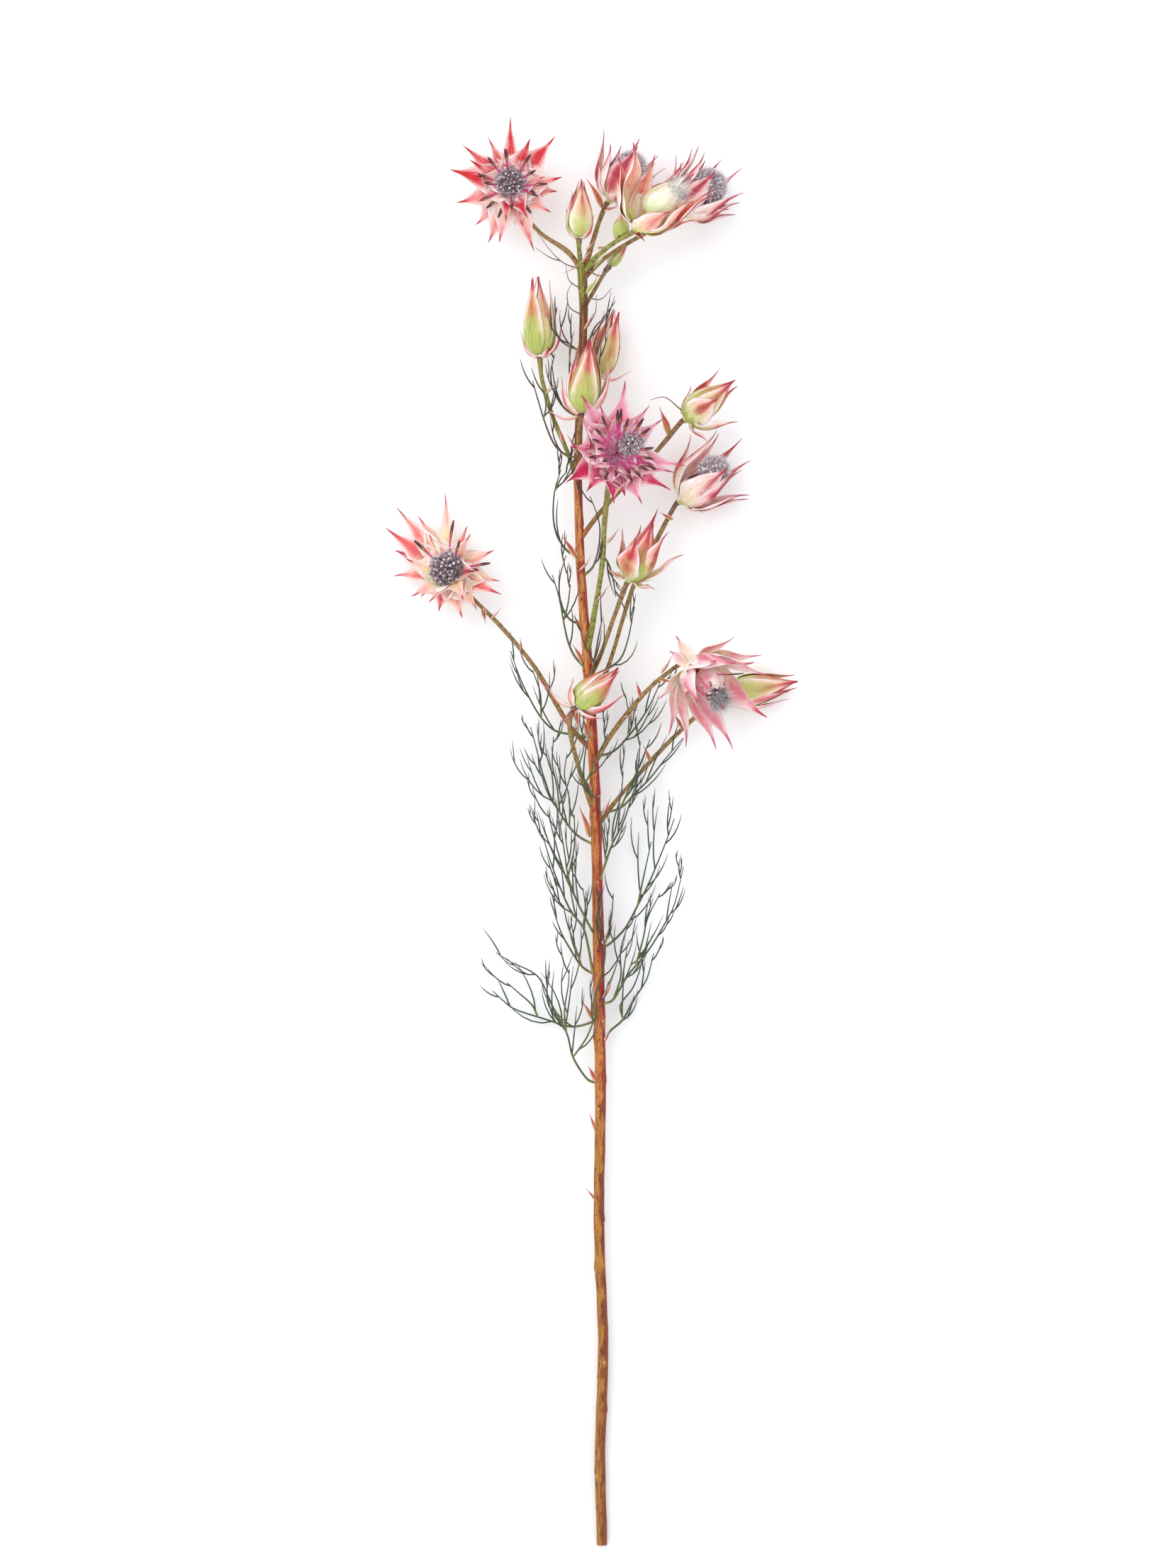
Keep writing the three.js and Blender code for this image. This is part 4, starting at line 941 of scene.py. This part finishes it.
# Each leaf: the routes of its stalk and main forks, in the plan, and how closely its needles stand.
LEAVES = {
    "leaf_low_left": (1.0, [
        [(-1.8, 190, 8), (-6, 192, 9), (-11.5, 200.7, 11), (-14.2, 210.8, 13), (-20, 219.3, 15),
         (-22.2, 225.7, 16), (-21, 236, 17)],
        [(-14.2, 210.8, 13), (-20, 222, 15), (-26, 234, 17), (-37, 240, 19), (-43, 243.8, 20)],
        [(-11.5, 200.7, 11), (-6.1, 208.7, 15), (-3, 216, 18), (1.2, 225.7, 20), (3, 232, 21)],
        [(-14.2, 210.8, 13), (-15, 220, 14), (-13.5, 230, 15), (-13, 237, 16)],
    ]),
    "leaf_low_left_flat": (1.0, [
        [(-1.6, 215.8, 9), (-8.3, 213.5, 6.5), (-13.7, 213.2, 4.5), (-21.6, 215.6, 3.5), (-34.9, 219.9, 3),
         (-40.2, 223.6, 3), (-44.5, 227.6, 3)],
        [(-26, 217, 3.4), (-28.5, 222, 4), (-34, 227, 4.5), (-38.6, 231, 5)],
    ]),
    "leaf_low_right": (1.0, [
        [(0.6, 206, 8.4), (3.5, 211, 6), (9, 216, 4.5), (13, 223.5, 4), (17, 229.5, 4), (19.3, 234.2, 4.5),
         (21.5, 243, 5)],
        [(9, 216, 4.5), (8, 222, 5), (13, 229, 6), (16, 237, 6.5), (17, 243, 7)],
    ]),
    "leaf_low_right_long": (1.2, [
        [(0.6, 222.6, 10), (5, 224.5, 12), (10.8, 234.2, 16), (19.3, 244.8, 20), (25.7, 255.4, 23),
         (29.9, 263.9, 24), (33.5, 279, 25)],
        [(5, 224.5, 12), (8, 234, 14), (8, 245, 15), (12, 258, 16)],
        [(14, 238.5, 18), (17, 249, 19), (19, 258, 20), (24, 268, 21)],
    ]),
    "leaf_right_tall": (1.2, [
        [(0, 246.4, 10), (3, 246.8, 9), (9.7, 253.3, 8), (15, 262.9, 7), (19.3, 271.4, 6.5), (23, 280, 6.5),
         (27, 290, 7), (30, 298.5, 7.5)],
        [(15, 262.9, 7), (17.5, 275, 8), (20.5, 289, 9)],
    ]),
    "leaf_front_low": (0.9, [
        [(-3.4, 215, 11), (-3, 224, 15), (0.5, 236, 18), (1.5, 247, 20), (-2, 256, 21), (0, 266, 21)],
        [(1.5, 247, 20), (4, 257, 20), (5, 268, 20)],
    ]),
    "leaf_left_fan": (1.2, [
        [(-2.6, 234.4, 9.6), (-8, 238, 10), (-13, 245.5, 10), (-16.5, 252, 9.6), (-19.3, 260, 9)],
        [(-8, 238, 10), (-11, 247, 12), (-14, 256, 12), (-15.5, 263, 12)],
    ]),
    "leaf_left_middle": (1.2, [
        [(-3.4, 235, 11), (-5.5, 247, 13), (-7.5, 254, 14), (-12, 260, 14), (-15, 266, 14), (-19, 276, 14),
         (-22, 285, 14), (-24, 292, 14)],
        [(-7.5, 254, 14), (-6.5, 262, 15), (-7.5, 270, 15)],
    ]),
    "leaf_left_tall": (1.3, [
        [(-3.4, 252, 12), (-6, 257, 16), (-10, 265, 20), (-13.5, 275, 23), (-15, 285, 25), (-17, 297, 27),
         (-19, 307, 28)],
        [(-10, 265, 20), (-15, 276, 20), (-19, 290, 20), (-22, 302, 20)],
        [(-13.5, 275, 23), (-11, 287, 23), (-11, 300, 23)],
    ]),
    "leaf_left_upper": (1.3, [
        [(-3.6, 288, 11.6), (-9, 291, 11), (-13, 295, 10.6), (-17, 301, 10), (-21, 308, 9.4), (-24, 317, 9),
         (-26.5, 327, 9), (-29, 336, 9)],
        [(-17, 301, 10), (-18, 311, 12), (-20, 321, 12), (-19.5, 332, 12)],
        [(-13, 295, 10.6), (-13, 306, 13), (-15, 316, 13), (-14, 325, 13)],
    ]),
    "leaf_right_inner": (1.1, [
        [(-0.6, 273, 12), (2, 281, 16), (4.5, 288, 18), (9, 297, 20), (12, 306, 22), (14.6, 315, 23)],
        [(2, 281, 16), (0.5, 292, 19), (-0.5, 302, 20), (-4, 310, 20)],
        [(4.5, 288, 18), (5, 297, 20), (8, 308, 20), (9, 318, 20)],
    ]),
    "leaf_right_upper": (1.2, [
        [(-1.4, 300, 12.6), (8, 303, 15), (14, 309, 15), (20, 315, 15), (26, 322.6, 15), (33.5, 331.4, 14)],
        [(8, 303, 15), (12, 312, 17), (16, 321, 17), (20, 331, 17)],
        [(14, 309, 15), (15, 318, 13), (16, 330, 13)],
    ]),
    "leaf_fork_front": (0.8, [
        [(-3.8, 308.6, 14), (-6.4, 313, 20), (-9, 319, 24), (-7.4, 326, 26), (-6.4, 334, 27)],
        [(-6.4, 313, 20), (-3, 320, 23), (0, 327, 24), (2.6, 333, 24)],
    ]),
    "leaf_high_right": (0.9, [
        [(-2.6, 323.6, 13), (5, 326, 9.6), (11, 332, 8), (17, 340, 7.6), (21, 347, 7.6), (24.5, 355, 8)],
        [(11, 332, 8), (11.4, 340, 9), (10, 349, 9)],
    ]),
    "leaf_high_left": (0.7, [
        [(-4.6, 331.6, 14), (-13, 333, 15.6), (-19, 334.5, 16), (-24.5, 339.6, 17), (-30, 349, 17),
         (-34, 358, 17), (-37, 367, 17)],
        [(-24.5, 339.6, 17), (-25, 350, 18), (-28, 359, 18)],
    ]),
    "leaf_left_high": (0.7, [
        [(-6.6, 360, 15), (-11, 365, 17), (-13.6, 371, 18), (-15.4, 379, 18), (-17, 388, 18), (-20, 398, 18)],
        [(-15.4, 379, 18), (-13.6, 386, 20), (-12.6, 394, 20)],
    ]),
    "leaf_left_higher": (0.7, [
        [(-8, 377.6, 16), (-13, 380, 18), (-16.6, 386, 18), (-17, 396, 18), (-14.4, 406, 18)],
    ]),
    "leaf_front_fork": (0.8, [
        [(-4.4, 357, 17), (-3, 362, 20), (-6.6, 369, 22), (-9, 377, 22)],
        [(-3, 362, 20), (-1.4, 371, 21), (0.4, 380, 21)],
    ]),
    "leaf_right_high": (0.7, [
        [(-3, 357, 14), (3, 360, 16), (8, 364, 17), (11, 372, 17), (13.6, 385, 17)],
    ]),
    "leaf_upper_left": (0.5, [
        [(-9.8, 405.6, 16.4), (-14, 408, 17), (-18, 414, 18), (-19.6, 422, 18), (-19, 432, 19),
         (-16.4, 441, 20)],
        [(-19, 432, 19), (-16.6, 437, 20), (-14, 440, 20)],
    ]),
    "leaf_upper_curl": (0.5, [
        [(-9.8, 446, 19), (-14, 446.6, 20), (-19, 451, 20), (-22.6, 459, 20), (-26, 470, 20), (-28, 477, 20)],
        [(-23.6, 461, 20), (-22.6, 467, 21), (-23.6, 473, 21)],
    ]),
    "leaf_bud_left": (0.4, [
        [(-9, 462, 20), (-15, 466, 20), (-19.4, 473, 20), (-20.6, 480, 20), (-19, 488, 20)],
        [(-9, 471, 21), (-12.6, 478, 22), (-12.8, 487, 22), (-11.6, 496, 22)],
        [(-8.8, 489.6, 21), (-13, 491, 22), (-17, 494, 22), (-19, 500, 22), (-18, 507, 22)],
    ]),
    "leaf_bud_right": (0.5, [
        [(-6, 487, 21), (-4.6, 494, 22), (-2.4, 499, 22), (0.6, 502, 22)],
        [(-1, 474, 24), (-2.4, 482, 25), (-0.6, 492, 25), (2.6, 500, 25)],
    ]),
    "leaf_front_upper": (0.4, [
        [(-6.6, 398, 17), (-3, 402, 21), (-0.8, 411, 22), (-1, 420, 22), (-4.6, 430, 22)],
    ]),
    "leaf_front_fine": (0.5, [
        [(-0.4, 406.6, 21), (2.6, 403, 22), (4.6, 397, 22), (6, 389, 22)],
    ]),
}
NEEDLE_STEPS = 6
NEEDLES_APART = 12  # millimetres of stalk to each needle, in a leaf of density 1
FORK_TURNS = (0.44, 0.36, 0.34)  # how far a needle swings aside at the first, second and third fork
NEEDLE_RADII = (0.36, 0.3, 0.25)  # of the needles of those forks
FORKED_SHARE = 0.42  # of the second forks that have grown
BROWN_LEAVES = ("leaf_upper", "leaf_bud", "leaf_front")  # those higher up, which the sun has browned


def shoots(parents, starts, hands, turn, lengths, rise=0.5):
    """Needles that leave their parents, runs of points, at the given point of each. The way of each
    needle turns from its parent's way, swung sideways by turn, to its parent's last way lifted up the
    stem, and its points are the running sum of those ways."""
    which = np.arange(len(parents))
    ways = unit(np.gradient(parents, axis=1))
    begin, end = ways[which, starts], ways[:, -1]
    swing = hands * turn * (1 + 0.25 * random_of.normal(size=len(parents)))
    first = np.stack([
        np.cos(swing) * begin[:, 0] - np.sin(swing) * begin[:, 1],
        np.sin(swing) * begin[:, 0] + np.cos(swing) * begin[:, 1],
        begin[:, 2] + 0.22 * random_of.normal(size=len(parents)),
    ], axis=-1)
    last = unit(end + rise * np.array([0, 1.0, 0]) + 0.1 * random_of.normal(size=first.shape))
    share = np.linspace(0, 1, NEEDLE_STEPS)[None, :, None] ** 0.7
    steps = unit(unit(first)[:, None] * (1 - share) + last[:, None] * share)
    steps = steps * np.reshape(lengths, (-1, 1, 1)) / (NEEDLE_STEPS - 1)
    grown = np.cumsum(np.concatenate([np.zeros((len(parents), 1, 3)), steps[:, :-1]], axis=1), axis=1)
    return parents[which, starts][:, None] + grown


def needles(density, routes):
    """A leaf: its stalks, the needles that fork from them, and the needles that fork from those."""
    parts = []
    for number, route in enumerate(routes):
        stalk = smooth(plan(route), 60)
        long = np.linalg.norm(np.diff(stalk, axis=0), axis=1).sum() / MM
        parts.append(tubes(stalk[None], np.linspace(0.55 - 0.12 * (number > 0), 0.2, 60)[None] * MM, 6, 0.9))
        many = max(int(density * long / NEEDLES_APART), 2)
        place = np.linspace(0.34 if number == 0 else 0.12, 0.93, many) + 0.03 * random_of.normal(size=many)
        places = (np.clip(place, 0.05, 0.96) * 59).astype(int)
        hands = np.where(np.arange(many) % 2, 1.0, -1.0)
        lengths = (11 + 0.27 * long * (1 - place)) * (1 + 0.22 * random_of.normal(size=many)) * MM
        first = shoots(np.repeat(stalk[None], many, axis=0), places, hands, FORK_TURNS[0],
                       np.maximum(lengths, 6 * MM))
        twice = np.concatenate([first, first])
        spots = np.repeat([1, 3], many)
        lengths = 0.72 * np.concatenate([lengths, 0.8 * lengths]) * (1 + 0.25 * random_of.random(2 * many))
        second = shoots(twice, spots, np.concatenate([-hands, hands]), FORK_TURNS[1],
                        np.maximum(lengths, 5 * MM))
        keep = random_of.random(2 * many) < FORKED_SHARE
        third = shoots(second, np.full(2 * many, 3), np.concatenate([hands, -hands]), FORK_TURNS[2],
                       0.6 * lengths)
        taper = np.array([1, 0.95, 0.88, 0.78, 0.6, 0.3]) * MM
        forks = (first, 5), (second[keep], 4), (third[keep][::2], 4)
        for level, (shape, sides) in zip(NEEDLE_RADII, forks):
            parts.append(tubes(shape, level * taper[None], sides, random_of.random(len(shape)) * 0.6))
    shape = joined(parts)
    shape["points"][:, 2] = np.maximum(shape["points"][:, 2], 0.5 * MM)
    return shape


def needle_skin(name, *colours):
    finish = Finish(name, 0.5)
    along, tone = finish.mark("along"), finish.mark("tone")
    mottle = finish.noise(finish.place(), 260.0, 3.0)
    share = finish.sum("ADD", along, finish.sum("MULTIPLY", finish.sum("SUBTRACT", mottle, 0.5), 0.5))
    dark = finish.ramp(share, *zip((0.0, 0.3, 0.6, 0.85, 1.0), colours))
    stalk = finish.ramp(share, (0.0, "#a3924f"), (0.1, "#6f7244"), (0.4, colours[0]), (0.8, colours[1]),
                        (1.0, "#655a5c"))
    return finish.colour(finish.mix(finish.between(tone, 0.7, 0.8), dark, stalk), 1.1)


needle_finish = needle_skin("needle_skin", "#525e3a", "#404e38", "#4b5245", "#6e6265", "#9a8890")
brown_needle_finish = needle_skin("brown_needle_skin", "#4f4a34", "#43392f", "#4f4440", "#6b5358", "#8f7580")

for name, (density, routes) in LEAVES.items():
    replaced = [name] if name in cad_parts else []
    leaf_finish = brown_needle_finish if name.startswith(BROWN_LEAVES) else needle_finish
    add_piece(f"{name}_needles", needles(density, routes), leaf_finish, "needle_leaf", *replaced)


# ---------------------------------------------------------------- scale leaves
# Small reddish scale leaves sit at the forks of the stem and on the stalks, one or two under each side
# shoot. They are thin and pointed, and stand a little away from the bark.

SCALES = [  # foot and tip in the plan, and half width
    ((-10, 405, 17.5), (-16, 414, 19), 0.9), ((-8.6, 400, 18), (-4, 405.6, 21), 0.9),
    ((-7.4, 362, 16), (-11.4, 370, 18), 0.8), ((-8.4, 376, 17), (-11, 382, 19), 0.7),
    ((-4.4, 308, 14), (-7.4, 317, 17), 0.9), ((-4.6, 291, 13), (-9, 304, 16), 1.0),
    ((0.4, 247, 11), (5, 257, 14), 1.0), ((0.9, 225, 10.4), (4.6, 233.4, 12), 1.1),
    ((-3, 216, 10.4), (-8, 224, 12), 0.8), ((-1.6, 191, 9), (-6, 197, 10), 1.0),
    ((1.2, 207, 9), (3.6, 213, 10), 0.8), ((-2.4, 171, 9), (-5.6, 178, 9), 0.5),
    ((-2.4, 142, 8), (-6, 147.4, 8), 0.4), ((-4.6, 331, 15), (-8.4, 340, 17), 0.9),
    ((-0.2, 299, 13), (4, 308, 16), 0.9), ((-1.8, 323, 14), (3, 331, 16), 0.8),
    ((-12.2, 336, 13.6), (-17.4, 341, 15), 0.6), ((-22, 352, 12.6), (-26, 357, 13), 0.6),
    ((-33, 367, 11.4), (-33, 373, 13), 0.5), ((-44.8, 380.6, 10.4), (-40.6, 385.6, 12), 0.6),
    ((-48.6, 384.6, 9.8), (-47, 378, 12), 0.8), ((9.4, 340, 19), (15, 343.4, 21), 0.7),
    ((16, 348, 21.4), (14, 354.6, 23), 0.7), ((24, 355.4, 23.6), (29.6, 354, 25), 0.8),
    ((24.6, 358, 24), (29, 365.4, 26), 1.0), ((20, 322, 8), (17, 329, 9), 0.7),
    ((33, 335.6, 7.4), (30, 342, 9), 0.7),
    ((-9.4, 447, 21), (-13.6, 455, 22), 0.6), ((-6.8, 498, 22.6), (-3, 504.6, 24), 1.1),
    ((-7.8, 525, 25), (-4.2, 531, 27), 0.9), ((-9.4, 524, 25), (-15.6, 520.6, 26), 0.5),
    ((-6, 530, 27), (-2, 535, 28), 0.7), ((-1, 531, 22), (5, 532.6, 24), 0.6),
    ((2.6, 411, 25), (7, 417, 27), 0.8), ((-1.2, 388, 21.4), (3, 394, 23), 0.8),
    ((29, 421, 14), (23.6, 424, 15), 0.7), ((28, 456, 21), (23.4, 466.4, 22), 0.9),
    ((27.4, 455, 21), (24, 463, 23), 0.7), ((-15.4, 452, 20), (-18, 458.6, 21), 0.6),
    ((-22.6, 472, 20.4), (-17.4, 478, 21), 0.7), ((0.6, 548, 16), (-5, 560, 18), 1.0),
    ((1.4, 547, 17), (8.6, 549.6, 19), 0.9), ((13.6, 537.6, 34), (18, 532.4, 36), 1.0),
    ((-36, 548, 13), (-30, 552, 14), 0.6), ((-10.4, 344, 24), (-13, 338, 25), 1.2),
    ((-11, 343.6, 24.6), (-9, 334, 26), 1.0),
]

for number, (foot, tip, half_width) in enumerate(SCALES):
    foot, tip = plan(foot), plan(tip)
    long = np.linalg.norm(tip - foot) / MM
    half_width *= 1.5
    scale_leaf = bracts([-50, 140], [long, 0.5 * long], [half_width, 0.8 * half_width], [14, 8, -4, -10, -8],
                        start=0.1, rise=-0.6, cup=0.6, roll=0.6, wave=0.03, loose=0.5, mesh=SMALL_MESH)
    add_piece(f"scale_leaf_{number}", placed(scale_leaf, foot, unit(tip - foot)), scale_finish, "bract")


# ---------------------------------------------------------------- young shoots at the crown
# Just below the top heads the stem carries thin leaf threads that curl in the air, mauve brown and no
# thicker than a bristle, and two green leaflets that are still folded.

THREADS = [
    [(-9.6, 522.6, 24), (-15, 524.6, 25), (-20, 529, 25), (-26, 537, 25)],
    [(-16.6, 525.6, 25), (-21, 527, 26), (-27, 531, 26)],
    [(-8.6, 514.6, 23), (-13, 517.6, 24), (-14.6, 524, 24)],
    [(-8.4, 504, 22), (-13, 507, 23), (-13.8, 512.6, 24), (-11.6, 517, 24)],
    [(-5.4, 522, 24), (-1, 519.6, 25), (2.4, 521.6, 25), (2.6, 527, 25)],
    [(-5, 510.6, 23), (0, 510.2, 24), (4.4, 514.6, 24)],
    [(-5.6, 499, 22), (-2.4, 505, 24), (-2, 512, 24)],
    [(32.6, 465, 23), (26, 470, 25), (20, 469, 25)],
    [(-7, 475, 22), (-12, 482, 24), (-13, 490, 24), (-11, 497, 24)],
]
LEAFLETS = [((-6.2, 512, 23), (-1.4, 520.6, 25), 1.5), ((-3.6, 522.4, 20), (2.2, 530.4, 20.5), 1.2)]

thread_points = np.stack([smooth(plan(route), 30) for route in THREADS])
threads = tubes(thread_points, np.linspace(0.34, 0.14, 30)[None] * MM, 5, 0.3)
thread_finish = fur("thread_skin", "#6a5a44", "#7c5c58", "#a8808a")
add_piece("crown_threads", threads, thread_finish, "needle_leaf")

leaflet_finish = papery("leaflet", "#bcc66a", "#c3cc74", "#d8d893", "#b98a6a", 0.3, 0.9)
for number, (foot, tip, half_width) in enumerate(LEAFLETS):
    foot, tip = plan(foot), plan(tip)
    long = np.linalg.norm(tip - foot) / MM
    leaflet = bracts([-60], [long], [half_width], [10, 6, -4, -10], start=0.1, rise=-0.4, cup=0.9, wave=0.0,
                     mesh=SMALL_MESH)
    add_piece(f"leaflet_{number}", placed(leaflet, foot, unit(tip - foot)), leaflet_finish, "bract")
